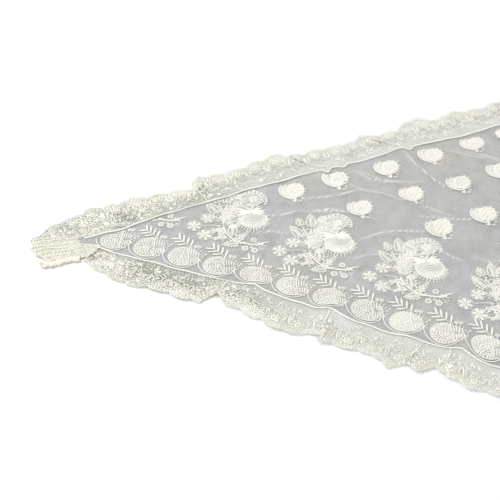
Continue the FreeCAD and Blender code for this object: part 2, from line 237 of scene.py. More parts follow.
# %% The reach of the edging and its tucks
NECK_REACH = [  # place along the seam, and how far out the laid edging reaches there
    (-902, 26), (-866, 43), (-801, 61), (-784, 66), (-727, 60), (-718, 70), (-672, 55), (-622, 52),
    (-600, 47), (-588, 52), (-569, 77), (-551, 67), (-478, 71), (-440, 76), (-402, 83), (-392, 63),
    (-324, 63), (-280, 58), (-250, 60), (-235, 77), (-226, 60), (-160, 57), (-124, 77), (-112, 78),
    (-68, 60), (-27, 69), (20, 58), (80, 64), (140, 72), (150, 58), (230, 62), (300, 74), (310, 60),
    (400, 64), (480, 72), (490, 57), (570, 62), (650, 70), (720, 60), (800, 64), (866, 43), (902, 26),
]
SIDE_REACH = [  # the same for the left side edging, from the sharp corner
    (36, 44), (60, 52), (136, 65), (187, 58), (247, 60), (262, 56), (276, 22), (286, 24), (302, 44),
    (366, 54), (405, 63), (449, 53), (462, 46), (472, 62), (525, 56), (550, 52), (579, 69), (606, 48),
    (623, 60), (647, 42), (663, 46), (698, 61), (760, 56), (800, 64), (850, 52), (930, 64), (1000, 57),
    (1090, 62), (1150, 60), (1210, 60),
]
RIGHT_SIDE_REACH = [
    (36, 44), (90, 56), (160, 64), (230, 54), (300, 62), (366, 64), (378, 50), (450, 60), (540, 66),
    (556, 52), (640, 62), (720, 58), (760, 66), (776, 54), (880, 62), (960, 66), (1040, 56), (1150, 60),
    (1210, 60),
]
NECK_TUCKS = [  # place on the seam, lean and depth of each
    (-584, -4, 5), (-351, -36, 7), (-176, -46, 8), (150, 20, 8), (318, 26, 8), (492, 18, 7), (690, 12, 6),
]
SIDE_TUCKS = [
    (279, 6, 6), (316, -36, 6), (456, 13, 7), (612, -4, 6), (655, 12, 7), (846, 8, 7), (1006, -8, 6),
]
RIGHT_SIDE_TUCKS = [(206, 10, 6), (372, 12, 7), (550, -14, 7), (770, 10, 7), (1006, 12, 6)]
TUCK_BACK = 14.0  # how far a tuck is felt on its two sides
TUCK_AHEAD = 1.3 * TUCK_BACK
TUCK_KNOTS = [-TUCK_BACK, -TUCK_BACK / 3, TUCK_BACK / 3, 0.8 * TUCK_BACK, TUCK_AHEAD]
TUCK_LIFTS = [0, 0.6, 2.0, 1.8, 0]
END_Q = 898.0  # where the neck edging ends, along its seam


def tucked(q, share, tucks):
    """Places along a seam and heights of a strip, with its tucks laid over."""
    along, height = q.copy(), np.zeros(q.shape)
    for place, lean, depth in tucks:
        u = q - place - lean * share
        laid = np.interp(u, TUCK_KNOTS, [-TUCK_BACK, depth, -depth, 0.7 * TUCK_BACK, TUCK_AHEAD])
        inside = (u > -TUCK_BACK) & (u < TUCK_AHEAD)
        fan = np.clip(share * 1.15 - 0.08, 0, 1) * (1 - 0.55 * np.clip(share * 4 - 3.2, 0, 1))
        along = np.where(inside, along + fan * (laid - u), along)
        lift = np.interp(u, TUCK_KNOTS, TUCK_LIFTS)
        height = height + np.where(inside, lift * np.clip(share * 2.2, 0, 1), 0)
    return along, height


def ruffle(q, share, turn):
    """The waves of the free edge."""
    wave = np.sin(q / 9.2 + turn + 1.2 * np.sin(q / 41)) * 0.6 + np.sin(q / 4.6 + 2 * turn) * 0.25
    return np.clip(share, 0, 2) ** 1.6 * 1.5 * (1.1 + wave)


def neck_strip(q, w):
    """Flat places and heights of the neck edging; q is along the seam from the centre line."""
    share = w / EDGE
    calm = np.clip((END_Q - np.abs(q)) / 90, 0.2, 1)
    along, fold = tucked(q, share, NECK_TUCKS)
    shift = follow(NECK_WANDER, along) + neck_notches(along)
    reach = np.interp(q, *np.array(NECK_REACH, float).T)
    out = shift + share * (reach - shift)
    height = RESTING + calm * (0.6 * swell(along, out) + ruffle(q, share, 0.4)) + fold
    return along, out, height


def side_strip(q, w, right):
    """The same for a side edging; q is from the sharp corner, and past the seam it fans to the centre."""
    share = w / EDGE
    along, fold = tucked(q, share, RIGHT_SIDE_TUCKS if right else SIDE_TUCKS)
    shift = side_wander(along, right)
    reach = np.interp(q, *np.array(RIGHT_SIDE_REACH if right else SIDE_REACH, float).T)
    out = shift + share * (reach - shift)
    x, y = from_side(np.minimum(along, SIDE), out)
    turn = np.radians(225 + 45 * np.clip((along - SIDE) / SCALLOP, 0, 1))
    fan_x, fan_y = out * np.cos(turn), -HALF + out * np.sin(turn)
    x, y = np.where(along > SIDE, fan_x, x), np.where(along > SIDE, fan_y, y)
    calm = np.clip((SIDE + SCALLOP - q) / 60, 0, 1)
    height = RESTING + 0.6 * swell(x, y) + calm * (ruffle(q, share, 1.9 + right) + fold)
    return np.where(right, -x, x), y, height


SCALLOP_SAG = 5.5  # how deep the outline dips from a scallop's middle to its cusps


def scallop_reach(q, first_cusp):
    """How far the scalloped edge lies from the seam, before it is laid out."""
    radius = (SCALLOP ** 2 / 4 + SCALLOP_SAG ** 2) / (2 * SCALLOP_SAG)
    u = np.mod(q - first_cusp, SCALLOP) - SCALLOP / 2
    worn = 1.5 * np.sin(q / 16 + 1.5 * np.sin(q / 47)) * np.sin(q / 61)
    return EDGE - radius + np.sqrt(radius ** 2 - u ** 2) + worn


print("tucks:", len(NECK_TUCKS) + len(SIDE_TUCKS) + len(RIGHT_SIDE_TUCKS))

# %% [markdown]
# Threads, petals and leaves are small patches that are drawn once and copied hundreds of times. A patch is
# kept as plain arrays of points and faces, which can be placed, mirrored, joined and laid on the shawl much
# faster than objects can. Blender's own modelling tools draw each patch, so its shape is made as by hand.

# %% Patches: reading, placing and joining
THREAD, FILL, HAZE = 0, 1, 2  # material slots: yarn, filling, thin filling


def patch(points, faces, slots):
    sizes = np.array([len(face) for face in faces], int)
    corners = np.array([v for face in faces for v in face], int)
    return {"co": np.array(points, float), "corners": corners, "sizes": sizes, "slots": np.array(slots, int)}


def take(obj):
    """The patch of a modelled object, which is then removed."""
    data = obj.data
    made = patch([v.co[:] for v in data.vertices], [f.vertices[:] for f in data.polygons],
                 [f.material_index for f in data.polygons])
    bpy.data.objects.remove(obj)
    return made


def turned_over(p):
    """The patch with its faces looking the other way."""
    starts = np.repeat(np.cumsum(p["sizes"]) - p["sizes"], p["sizes"])
    ends = np.repeat(np.cumsum(p["sizes"]), p["sizes"]) - 1
    order = ends - (np.arange(len(p["corners"])) - starts)
    return {**p, "corners": p["corners"][order]}


def put(p, at=(0, 0), turn=0.0, size=(1, 1), tall=1.0, lift=0.0, flip=False):
    """The patch scaled, turned and moved; turn is in degrees."""
    x, y, z = (p["co"] * (size[0] * (-1 if flip else 1), size[1], tall)).T
    c, s = math.cos(math.radians(turn)), math.sin(math.radians(turn))
    made = {**p, "co": np.stack([x * c - y * s + at[0], x * s + y * c + at[1], z + lift], 1)}
    return turned_over(made) if flip else made


def joined(parts):
    """One patch from many."""
    counts = np.cumsum([0] + [len(p["co"]) for p in parts])
    corners = np.concatenate([p["corners"] + n for p, n in zip(parts, counts)])
    return {"co": np.concatenate([p["co"] for p in parts]), "corners": corners,
            "sizes": np.concatenate([p["sizes"] for p in parts]),
            "slots": np.concatenate([p["slots"] for p in parts])}


def all_in(p, slot):
    """The patch in one material."""
    return {**p, "slots": np.full(len(p["sizes"]), slot)}


print("slots of a patch: yarn", THREAD, "filling", FILL, "thin filling", HAZE)

# %% [markdown]
# A worked petal has a raised rim of close stitches round a thin filling. It starts as a disc with its foot at
# the origin. The disc is narrowed at the foot, inset once upwards for the rim and once downwards for the
# filling. A leaf is the same with a point, and a solid petal keeps its dome.

# %% Tools for drawing a patch
def start_disc(corners, centre_y=0.5):
    """A disc of width 1 in edit mode, selected, with its foot at the origin."""
    bpy.ops.object.select_all(action="DESELECT")
    bpy.ops.mesh.primitive_circle_add(vertices=corners, radius=0.5, fill_type="NGON",
                                      location=(0, centre_y, 0))
    bpy.ops.object.transform_apply(location=True, rotation=True, scale=True)
    bpy.ops.object.mode_set(mode="EDIT")
    bpy.ops.mesh.select_mode(type="FACE")
    bpy.ops.mesh.select_all(action="SELECT")
    return bpy.context.object


def pull_points(obj, chosen, scale, move=(0, 0, 0)):
    """Scales and moves the vertices that chosen(co) names."""
    bpy.ops.object.mode_set(mode="OBJECT")
    for v in obj.data.vertices:
        v.select = chosen(v.co)
    for f in obj.data.polygons:
        f.select = False
    bpy.ops.object.mode_set(mode="EDIT")
    bpy.ops.mesh.select_mode(type="VERT")
    bpy.ops.transform.resize(value=scale)
    bpy.ops.transform.translate(value=move)
    bpy.ops.mesh.select_mode(type="FACE")
    bpy.ops.mesh.select_all(action="SELECT")


def finish_patch(obj, filled=False):
    """Leaves edit mode; in a filled patch, the wide face in the middle is the filling."""
    bpy.ops.object.mode_set(mode="OBJECT")
    if filled:
        for f in obj.data.polygons:
            f.material_index = FILL if len(f.vertices) > 4 else THREAD
    return take(obj)


print("a disc of 8 corners has", len(finish_patch(start_disc(8))["sizes"]), "face before it is shaped")

# %% Draw the petals, leaves, knots and rings
def draw_petal(corners, point=0.0, filled=True):
    """A petal, or with a point a leaf."""
    obj = start_disc(corners)
    pull_points(obj, lambda co: co.y < 0.3, (0.62, 1, 1))
    if point:
        pull_points(obj, lambda co: co.y > 0.98, (1, 1, 1), (0, point, 0))
        pull_points(obj, lambda co: co.y < 0.02, (1, 1, 1), (0, -point, 0))
    if filled:
        bpy.ops.mesh.inset(thickness=0.09, depth=0.9)
        bpy.ops.mesh.inset(thickness=0.09, depth=-0.6)
    else:
        bpy.ops.mesh.inset(thickness=0.13, depth=0.9)
    return finish_patch(obj, filled)


def draw_ring(corners):
    """A rim round an open middle."""
    obj = start_disc(corners, 0)
    bpy.ops.mesh.inset(thickness=0.11, depth=0.9)
    bpy.ops.mesh.inset(thickness=0.11, depth=-0.7)
    bpy.ops.mesh.delete(type="FACE")
    return finish_patch(obj)


def draw_dot():
    """A knot."""
    obj = start_disc(6, 0)
    bpy.ops.mesh.inset(thickness=0.2, depth=0.9)
    return finish_patch(obj)


def draw_pad():
    """A round filling that bends with the cloth."""
    obj = start_disc(14, 0)
    for _ in range(2):
        bpy.ops.mesh.inset(thickness=0.15, depth=0.0)
    return all_in(finish_patch(obj), FILL)


PETAL = draw_petal(8)
SOLID_PETAL = draw_petal(8, filled=False)
SOLID_LEAF = draw_petal(6, point=0.14, filled=False)
RING = draw_ring(10)
DOT = draw_dot()
PAD = draw_pad()
print("faces in each patch:", [len(p["sizes"]) for p in (PETAL, SOLID_PETAL, SOLID_LEAF, RING, DOT, PAD)])

# %% [markdown]
# A thread or cord is a tube along a course of points. A curve with a bevel could make it, but these tubes are
# laid on the shawl point by point with the rest of the motif, so they are made as patches too: a ring of
# points for each place of the course, and a closed cap at both ends.

# %% Threads and courses
def strand(points, width, height, sides=4, lift=0.0):
    """A closed tube along flat points, width across and height up from lift."""
    points = np.array(points, float)
    way = np.gradient(points, axis=0)
    way /= np.maximum(np.hypot(*way.T), 1e-9)[:, None]
    across = np.stack([-way[:, 1], way[:, 0]], 1)
    turn = 2 * np.pi * np.arange(sides) / sides
    ring = np.stack([np.cos(turn) * width / 2, np.sin(turn) * height / 2 + height / 2 + lift], 1)
    co = np.concatenate([points[:, None, :] + across[:, None, :] * ring[None, :, :1],
                         np.broadcast_to(ring[None, :, 1:], (len(points), sides, 1))], 2).reshape(-1, 3)
    count = len(points)
    base = (np.arange(count - 1)[:, None] * sides + np.arange(sides)[None, :]).reshape(-1)
    after = (np.arange(count - 1)[:, None] * sides + (np.arange(sides)[None, :] + 1) % sides).reshape(-1)
    walls = np.stack([base, after, after + sides, base + sides], 1)[:, ::-1].reshape(-1)
    start, end = np.arange(sides), (count - 1) * sides + np.arange(sides)[::-1]
    return {"co": co, "corners": np.concatenate([walls, start, end]),
            "sizes": np.array([4] * len(base) + [sides] * 2), "slots": np.zeros(len(base) + 2, int)}


def bow(centre, radius, start, end, count, squeeze=1.0):
    """Points on an arc, with angles in degrees."""
    a = np.radians(np.linspace(start, end, count))
    return np.stack([centre[0] + radius * np.cos(a), centre[1] + radius * squeeze * np.sin(a)], 1)


def smooth(points, per_span=5):
    """A soft course through given points."""
    p = np.array(points, float)
    p = np.concatenate([[2 * p[0] - p[1]], p, [2 * p[-1] - p[-2]]])
    t = np.linspace(0, 1, per_span, endpoint=False)[:, None]
    spans = []
    for a, b, c, d in zip(p, p[1:], p[2:], p[3:]):
        spans.append(0.5 * (2 * b + (c - a) * t + (2 * a - 5 * b + 4 * c - d) * t ** 2
                            + (3 * b - a - 3 * c + d) * t ** 3))
    return np.concatenate(spans + [p[-2:-1]])


print("a ring of thread has", len(strand(bow((0, 0), 5, 0, 360, 12), 1, 0.6)["sizes"]), "faces")

# %% [markdown]
# Each motif is put together from the patches, in its own frame: x runs along the shawl's side and y into the
# field. Old lace is worked by hand, so petals differ a little in size and turn. A seeded random generator
# gives the same small differences on every run.

# %% Strokes, knots and crowns of petals
hand = np.random.default_rng(7)


def vary(amount=0.08):
    """A size near 1, as a hand would make it."""
    return 1 + amount * hand.uniform(-1, 1)


def crown(p, count, inner, length, width, start=0.0, sweep=360.0, lift=0.0, centre=(0, 0), tall=0.9):
    """Petals round a centre, each pointing away from it."""
    step = sweep / count
    made = []
    for k in range(count):
        a = start + (k + 0.5) * step + 4 * hand.uniform(-1, 1)
        at = (centre[0] + inner * math.cos(math.radians(a)), centre[1] + inner * math.sin(math.radians(a)))
        made.append(put(p, at, a - 90, (width * vary(), length * vary()), tall, lift))
    return made


def beads(points, size, lift=0.0):
    """A knot at each point."""
    return [put(DOT, at, 0, (size, size), 0.9, lift) for at in points]


def bar(foot, tip, width, lift=0.0, shape=None):
    """One worked stroke from foot to tip."""
    way = np.subtract(tip, foot)
    turn = math.degrees(math.atan2(way[1], way[0])) - 90
    return put(shape or SOLID_PETAL, foot, turn, (width, float(np.hypot(*way))), 1.0, lift)


def spaced(points, gap):
    """Places a gap apart along a course."""
    points = np.array(points, float)
    begun = np.concatenate([[0], np.cumsum(np.hypot(*np.diff(points, axis=0).T))])
    at = np.linspace(0, begun[-1], max(2, int(begun[-1] / gap) + 1))
    return np.stack([np.interp(at, begun, points[:, 0]), np.interp(at, begun, points[:, 1])], 1)


print("a course of 30 mm gets", len(spaced([(0, 0), (30, 0)], 5)), "knots with gaps of 5 mm")

# %% Blossoms, berries, sprays and leaves
def blossom(at, radius):
    """Round petals that touch, a ring and a knot, and beads round them."""
    turn = hand.uniform(0, 60)
    parts = [all_in(put(PAD, (0, 0), 0, (1.7 * radius,) * 2, 0.6), HAZE)]
    parts += crown(PETAL, 6, 0.34 * radius, 0.66 * radius, 0.74 * radius, start=turn, lift=0.2)
    parts.append(put(RING, (0, 0), 0, (0.70 * radius,) * 2, 0.9, 0.9))
    parts.append(put(DOT, (0, 0), 0, (0.25 * radius,) * 2, 0.9, 0.9))
    parts += beads(bow((0, 0), 1.02 * radius, turn, turn + 340, 18), 2.6)
    return put(joined(parts), at)


def berry(at, size=9.0):
    """A ring with a knot in it."""
    return put(joined([put(RING, (0, 0), 0, (size, size)), put(DOT, (0, 0), 0, (0.28 * size,) * 2)]), at)


def spray(foot, tip, pairs, length, width, spread=52.0):
    """A feathered leaf: a stem with leaflets on both sides and one at its end."""
    foot, tip = np.array(foot, float), np.array(tip, float)
    way = math.degrees(math.atan2(*(tip - foot)[::-1]))
    parts = [strand(np.linspace(foot, tip, 4), 1.4, 0.8)]
    for k in range(pairs):
        share = (k + 0.6) / (pairs + 0.3)
        at = foot + (tip - foot) * share
        reach = length * (1.1 - 0.55 * share) * vary()
        for side in (-1, 1):
            parts.append(put(SOLID_PETAL, at, way - 90 + side * spread, (width, reach), 0.9))
    parts.append(put(SOLID_PETAL, tip, way - 90, (width, 0.7 * length), 0.9))
    return joined(parts)


def leaf_outline(width, length, side, count):
    """One side of a broad leaf, from foot to tip."""
    y = np.linspace(0.08, 1.0, count)
    return np.stack([side * 0.5 * width * np.sin(np.pi * y ** 0.8) ** 0.8, y * length], 1)


def broad_leaf(foot, tip, width):
    """A leaf with a beaded saw edge, a midrib and slanting veins over a thin filling."""
    foot, tip = np.array(foot, float), np.array(tip, float)
    length = float(np.hypot(*(tip - foot)))
    turn = math.degrees(math.atan2(*(tip - foot)[::-1])) - 90
    parts = [all_in(put(SOLID_LEAF, (0, 0), 0, (width, 0.98 * length), 0.3), HAZE)]
    parts.append(strand([(0, -2), (0, 0.5 * length), (0, 0.9 * length)], 1.9, 0.9))
    for side in (-1, 1):
        edge = leaf_outline(width, length, side, 12)
        parts.append(strand(edge, 1.9, 1.0))
        outside = leaf_outline(1.16 * width + 1.8, 1.04 * length, side, 12)
        parts += beads(spaced(outside[1:], 5.2), 3.6)
        for k in range(int(length / 6)):
            y = length * (0.12 + 0.72 * k / max(1, int(length / 6)))
            parts.append(bar((0, y), (side * 0.33 * width, y + 0.13 * length), 2.0, 0.3))
    parts.append(bar((0, 0.9 * length), (0, 1.12 * length), 2.6))
    return put(joined(parts), foot, turn)


print("a blossom has", len(blossom((0, 0), 11)["sizes"]), "faces")

# %% [markdown]
# The bouquets are the shawl's main ornament. Each has beaded leaves to one side, a ruffled rose at the top,
# and a large bloom that is worked solid: two lobes of leaves that fan out, a shell of curved rows between
# them, and a frill of fine rays below. Three blossoms, more leaves and a long branch with berries surround
# the joint of the stems. On this shawl the flowers stand upright to the hem's slant, so they are drawn
# upright and then turned. Short strokes and knots fill the net between them, as the lace maker left no gap.

# %% Rose and bloom
UPRIGHT = 22.4  # degrees that the flowers are turned


def rose(at, wide=25.0, deep=20.5):
    """A ruffled rose: curved rows and strokes over a filling, with petals and knots round its upper side."""
    parts = [all_in(put(PAD, (1, 0), 0, (1.7 * wide, 1.7 * deep), 0.6), HAZE)]
    parts.append(put(PAD, (3, 1), 0, (0.9 * wide, 0.9 * deep), 1, 0.3))
    squash = deep / wide
    for x, y, reach, start, end in ((1, 0, 20, -15, 175), (-2, 1, 17, 70, 215), (4, 2, 14, -50, 110),
                                    (-4, -1, 11, 60, 250), (2, -1, 8, -80, 120), (-13, -5, 8, 30, 190),
                                    (12, -4, 8, -70, 120), (9, 9, 7, -40, 170), (-9, 9, 7, 20, 200)):
        parts.append(strand(bow((x, y), reach, start, end, 14, squash), 2.0, 0.9, lift=0.5))
    for k in range(11):
        a = math.radians(-12 + 18.5 * k)
        at_rim = (0.80 * wide * math.cos(a), 0.80 * deep * math.sin(a))
        parts.append(put(PETAL, at_rim, math.degrees(a) - 90, (8.0 * vary(0.2), 8.0 * vary(0.25)), 0.9, 0.2))
    parts += beads(bow((0, 0), 1.10 * wide, -30, 172, 26, squash * 1.03), 3.3)
    parts += crown(SOLID_PETAL, 5, 1.5, 7.5, 6.5, lift=0.9, centre=(3, 1))
    for x, y, reach in ((-14, -6, 13), (-9, -11, 12), (-19, 2, 12), (8, 8, 11), (9, -1, 12), (-5, 11, 12),
                        (-22, -5, 10), (-2, -16, 12), (4, -10, 13), (-15, 9, 10)):
        parts.append(bar((x, y), (x + reach, y + 0.25 * reach), 3.0, 0.7))
    return put(joined(parts), at, UPRIGHT)


def bloom(at):
    """The solid flower head: two lobes of leaves, a shell of rows between them, and a frill of rays."""
    parts = [put(PAD, (3, -15), 0, (54, 46), 1, 0.3)]
    for foot, tip, width in (((1, 4), (-28, 12), 8.5), ((1, 3), (-30, 4), 9), ((0, 2), (-27, -6), 8),
                             ((-5, 4), (-24, 3), 16), ((-2, 4), (21, 14), 8), ((-2, 4), (27, 7), 8.5),
                             ((-2, 3), (28, -1), 8.5), ((-1, 2), (21, -8), 8), ((4, 4), (22, 3), 14),
                             ((3, 6), (-12, 16), 6.5), ((0, 7), (4, 17), 6), ((3, 7), (13, 16), 5)):
        parts.append(bar(foot, tip, width, 1.0, SOLID_LEAF))
    for radius in (4.5, 8.5, 12.5, 16.5):
        parts.append(strand(bow((3.5, -3), radius, 188, 352, 14, 0.95), 2.5, 1.0, lift=1.3))
    for k in range(17):
        a = math.radians(198 + 9.1 * k)
        reach = 28 + 10 * math.sin(math.pi * (k + 1) / 18) + 2 * math.sin(2.4 * k)
        foot, tip = [(4 + r * math.cos(a), -8 + r * math.sin(a)) for r in (20, reach)]
        parts.append(bar(foot, tip, 3.0, 0.4))
        parts += beads([tip, ((foot[0] + 2 * tip[0]) / 3 + 2, (foot[1] + 2 * tip[1]) / 3)], 2.9, 0.5)
    return put(joined(parts), at, UPRIGHT)


print("the flowers are turned by", UPRIGHT, "degrees")

# %% Branch and bouquet
def branch():
    """The long curved branch, with berries round it and a forked end."""
    line = smooth([(2, -6), (16, -20), (38, -30), (60, -28), (77, -23), (84, -17)])
    second = smooth([(-2, -10), (10, -22), (26, -31), (40, -33)])
    parts = [strand(line, 4.2, 1.5, sides=5), strand(second, 1.7, 1.0)]
    for at, size in (((64, -15), 11), ((58, -40), 11.5), ((75, -38), 12), ((67, -33), 6)):
        parts.append(berry(at, size))
    parts += [strand([(60, -28), (60, -34)], 1.4, 0.8), strand([(73, -25), (75, -33)], 1.4, 0.8)]
    parts += [bar((66, -29), (93, -6), 4.6), bar((81, -22), (89, -21), 3.4), bar((76, -23), (73, -15), 3.0)]
    parts += beads([(80, -27), (84, -29), (88, -27), (83, -33), (87, -33), (70, -20)], 2.8)
    for foot, turn in (((30, -27), 30), ((46, -30), 40), ((52, -29), -150), ((44, -31), -130),
                       ((22, -24), 60)):
        parts.append(put(SOLID_LEAF, foot, turn - 90, (3.8, 9), 1.0))
    return joined(parts)


def scattered(centre, wide, deep, count):
    """Small knots and petals, strewn between the stems."""
    parts = []
    for _ in range(count):
        turn, reach = hand.uniform(0, 2 * math.pi), 0.5 * hand.uniform(0, 1) ** 0.5
        at = (reach * wide * math.cos(turn), reach * deep * math.sin(turn))
        kind = SOLID_PETAL if hand.uniform(0, 1) < 0.4 else DOT
        turn = hand.uniform(0, 360)
        size = (hand.uniform(2.4, 3.4), hand.uniform(2.8, 5.0))
        parts.append(put(kind, at, turn, size, 0.8))
    return [put(joined(parts), centre, UPRIGHT)]


def streaks(centre, wide, deep, count):
    """Short strokes that lie nearly level, as where many stems and petals meet."""
    parts = []
    for k in range(count):
        x, y = wide * hand.uniform(-0.5, 0.5), deep * ((k + 0.5) / count - 0.5)
        reach = hand.uniform(7, 14)
        parts.append(bar((x, y), (x + reach, y + reach * hand.uniform(0.0, 0.45)), 2.7))
    return [put(joined(parts), centre, UPRIGHT)]


def bouquet():
    """One bouquet without its branch; its stems meet at the origin."""
    stems = [[(0, 0), (-8, 10), (-17, 20)], [(2, -6), (-6, 20), (-13, 52)], [(0, 0), (-14, 30), (-30, 48)],
             [(0, 0), (-3, 30), (-3, 66), (-3, 76)], [(2, -4), (10, 10), (20, 24)],
             [(0, 0), (-12, 3), (-22, 4)], [(0, -4), (-18, -10), (-32, -17)],
             [(2, -8), (-4, -16), (-9, -26)], [(4, -10), (14, -14), (26, -22)]]
    parts = [strand(smooth(line, 4), 1.7, 0.9) for line in stems]
    for centre, wide, deep, count in (((-9, 38), 38, 68, 78), ((4, -24), 34, 42, 48), ((20, 0), 28, 30, 20)):
        parts += scattered(centre, wide, deep, count)
    for centre, wide, deep, count in (((-6, 66), 26, 38, 15), ((-2, 36), 24, 28, 12), ((16, 62), 46, 12, 8),
                                      ((2, 12), 22, 24, 10), ((34, 69), 38, 12, 8)):
        parts += streaks(centre, wide, deep, count)
    for at, size, turn in (((-4, 62), (26, 36), 20), ((14, 60), (44, 22), 20), ((2, 24), (28, 46), 10)):
        parts.append(all_in(put(PAD, at, turn, size, 0.5), HAZE))
    parts += [broad_leaf((-18, 21), (-49, 41), 15), broad_leaf((-14, 50), (-28, 83), 14),
              broad_leaf((-31, 48), (-45, 65), 11), broad_leaf((-3, 68), (-4, 88), 10)]
    parts.append(broad_leaf((-10, 13), (-2, 31), 10))
    parts.append(spray((-8, 22), (-22, 38), 4, 8, 3.2))
    parts += [spray((-4, 40), (8, 56), 4, 8, 3.4), spray((-6, 8), (-26, 14), 4, 7, 3.0)]
    parts += crown(SOLID_PETAL, 5, 2.5, 6.5, 5.5, centre=(-5, 38)) + beads(bow((-5, 38), 10, 0, 320, 9), 2.4)
    parts += [rose((22, 79)), bloom((34, 46))]
    parts += [blossom((-32, 4), 11.5), blossom((-46, -23), 12), blossom((-20, -37), 12)]
    parts += [broad_leaf((27, -22), (15, 8), 13), broad_leaf((45, -32), (20, -46), 11),
              broad_leaf((37, -29), (42, -10), 11)]
    parts += [spray((20, -26), (3, -37), 5, 7, 3.2), spray((4, -12), (-10, -22), 4, 8, 3.2),
              spray((6, -14), (6, -30), 3, 7, 3.0), spray((41, -25), (48, 1), 5, 8, 3.2),
              spray((12, -4), (24, 10), 4, 8, 3.2)]
    return joined(parts)


BOUQUET, BRANCH = bouquet(), branch()
print("faces in a bouquet:", len(BOUQUET["sizes"]), "and in its branch:", len(BRANCH["sizes"]))

# %% [markdown]
# The single roses stand by themselves in the rest of the net: a solid, swirled bud with teeth to the right,
# held to the left by two curved petals, over a small calyx. The border is a row of oval baskets. Each sits in
# a half ring of cord and is worked like a doily, in rings of knots with a fringe of rays, and carries a fern
# whose leaflets lie level on its left and stand upright on its right.

# %% Sprig, basket and fern
def sprig():
    """One single rose, with its origin in the middle."""
    parts = [put(PAD, (-5, 1), 0, (38, 38), 1, 0.2)]
    parts.append(all_in(put(PAD, (5.5, 5.2), -14, (31, 39), 1, 1.0), THREAD))
    outer = smooth([(-19, 18), (-23.5, 8), (-23, -3), (-16, -13), (-4, -18.5), (4, -18)])
    inner = smooth([(-11, 21), (-15.5, 11), (-15, 0), (-9, -9.5), (-1, -14)])
    parts += [strand(outer, 3.0, 1.3, sides=5, lift=0.3), strand(inner, 2.8, 1.3, sides=5, lift=0.3)]
    parts += beads(spaced(outer * 0.88, 3.4), 2.3, 0.3) + beads(spaced(inner * 0.84, 3.4), 2.1, 0.4)
    swirls = (([(-7, 2), (-4, 12), (3, 20), (10, 22)], 4.6), ([(-5, -5), (0, 5), (7, 13), (15, 15)], 4.4),
              ([(0, -11), (4, -3), (11, 4), (19, 7)], 4.6), ([(5, -13), (10, -7), (15, -3), (20, -1)], 4.0),
              ([(-2, 9), (3, 13), (8, 18)], 2.6), ([(4, 2), (9, 8), (15, 10)], 2.4))
    for line, width in swirls:
        parts.append(strand(smooth(line, 4), width, 0.7, sides=5, lift=0.75))
    parts.append(strand(bow((0, -2), 4.0, -40, 230, 9), 1.8, 0.9, lift=1.2))
    parts += beads(bow((6.5, 4.5), 15, -100, 66, 12, 1.22), 3.4, 0.6)
    for foot, tip in (((17, 17), (23, 21)), ((20, 9), (27, 9)), ((20, 2), (25, 1)), ((17, -6), (22, -9)),
                      ((13, 22), (17, 27))):
        parts.append(bar(foot, tip, 3.8, 0.5))
    parts += [bar((5, -14), (4.5, -27), 7.0, 0.2), bar((7.5, -24), (17, -23.5), 4.0, 0.3)]
    parts += beads([(17, -16), (1, -23)], 4.4)
    return joined(parts)


def basket(half_long=27.0, half_tall=23.0):
    """One basket: a cord oval, rings of knots, upright bars on its right and rays round its end."""
    squash = half_tall / half_long
    parts = [all_in(put(PAD, (0, 0), 0, (1.94 * half_long, 1.94 * half_tall), 0.6), HAZE)]
    parts.append(strand(bow((0, 0), 1.0 * half_long, 80, 300, 22, squash), 1.5, 0.9, lift=0.2))
    parts.append(strand(bow((-5, 0), 0.60 * half_long, 20, 340, 22, squash), 1.2, 0.8, lift=0.2))
    for share, count, size in ((0.93, 31, 4.1), (0.75, 25, 4.1), (0.56, 18, 4.2), (0.37, 12, 4.2),
                               (0.18, 6, 4.2), (0.0, 1, 4.8)):
        for k in range(count):
            a = 2 * math.pi * (k + 0.5 * (count % 4 == 2)) / count
            right_fringe = share > 0.4 and (a < 1.2 or a > 5.2)
            off = 0.4 * hand.uniform(-1, 1)
            at = (share * half_long * math.cos(a) + off - 3 * (1 - share),
                  share * half_tall * math.sin(a) - off)
            if not right_fringe:
                parts.append(put(DOT, at, 0, (size * vary(0.2), size * 0.9), 1.0, 0.3))
    for k in range(5):
        x = 7.0 + 4.2 * k
        half = 0.9 * half_tall * math.sqrt(1 - (x / half_long) ** 2)
        for low, high in ((-half, -2.0), (0.5, half)):
            parts.append(bar((x, low), (x + 1.2, high), 3.3, 0.3))
    for k in range(10):
        a = math.radians(-62 + 14 * k)
        foot = (0.92 * half_long * math.cos(a), 0.92 * half_tall * math.sin(a))
        parts.append(bar(foot, (1.10 * half_long * math.cos(a), 1.10 * half_tall * math.sin(a)), 2.8, 0.3))
    parts += beads(bow((0, 0), 1.17 * half_long, -55, 55, 9, squash), 2.8)
    return joined(parts)


def fern():
    """Leaflets over a basket, the comb under them, and berries to both sides."""
    parts = [strand(smooth([(-4, 43), (3, 36), (10, 29), (18, 20)], 4), 1.5, 0.9)]
    strokes = [((-1, 42), (-18, 43.5)), ((4, 35.5), (-13, 35)), ((9, 29), (-6, 28)), ((-1, 40), (-4, 57)),
               ((5, 34), (5, 53)), ((11, 29), (14, 46)), ((17, 22), (22, 40))]
    parts += [bar(foot, tip, 5.6, 0.2) for foot, tip in strokes]
    parts += [bar((-8 + 4 * k, 15.5), (-8 + 4 * k, 23), 1.9, 0.2) for k in range(7)]
    parts += [berry((26, 23), 7), berry((33, 22), 7)]
    parts += beads([(-16, 28), (-21, 24)], 4.2)
    return joined(parts)


SPRIG = sprig()
print("faces in a sprig, basket and fern:", [len(p["sizes"]) for p in (SPRIG, basket(), fern())])

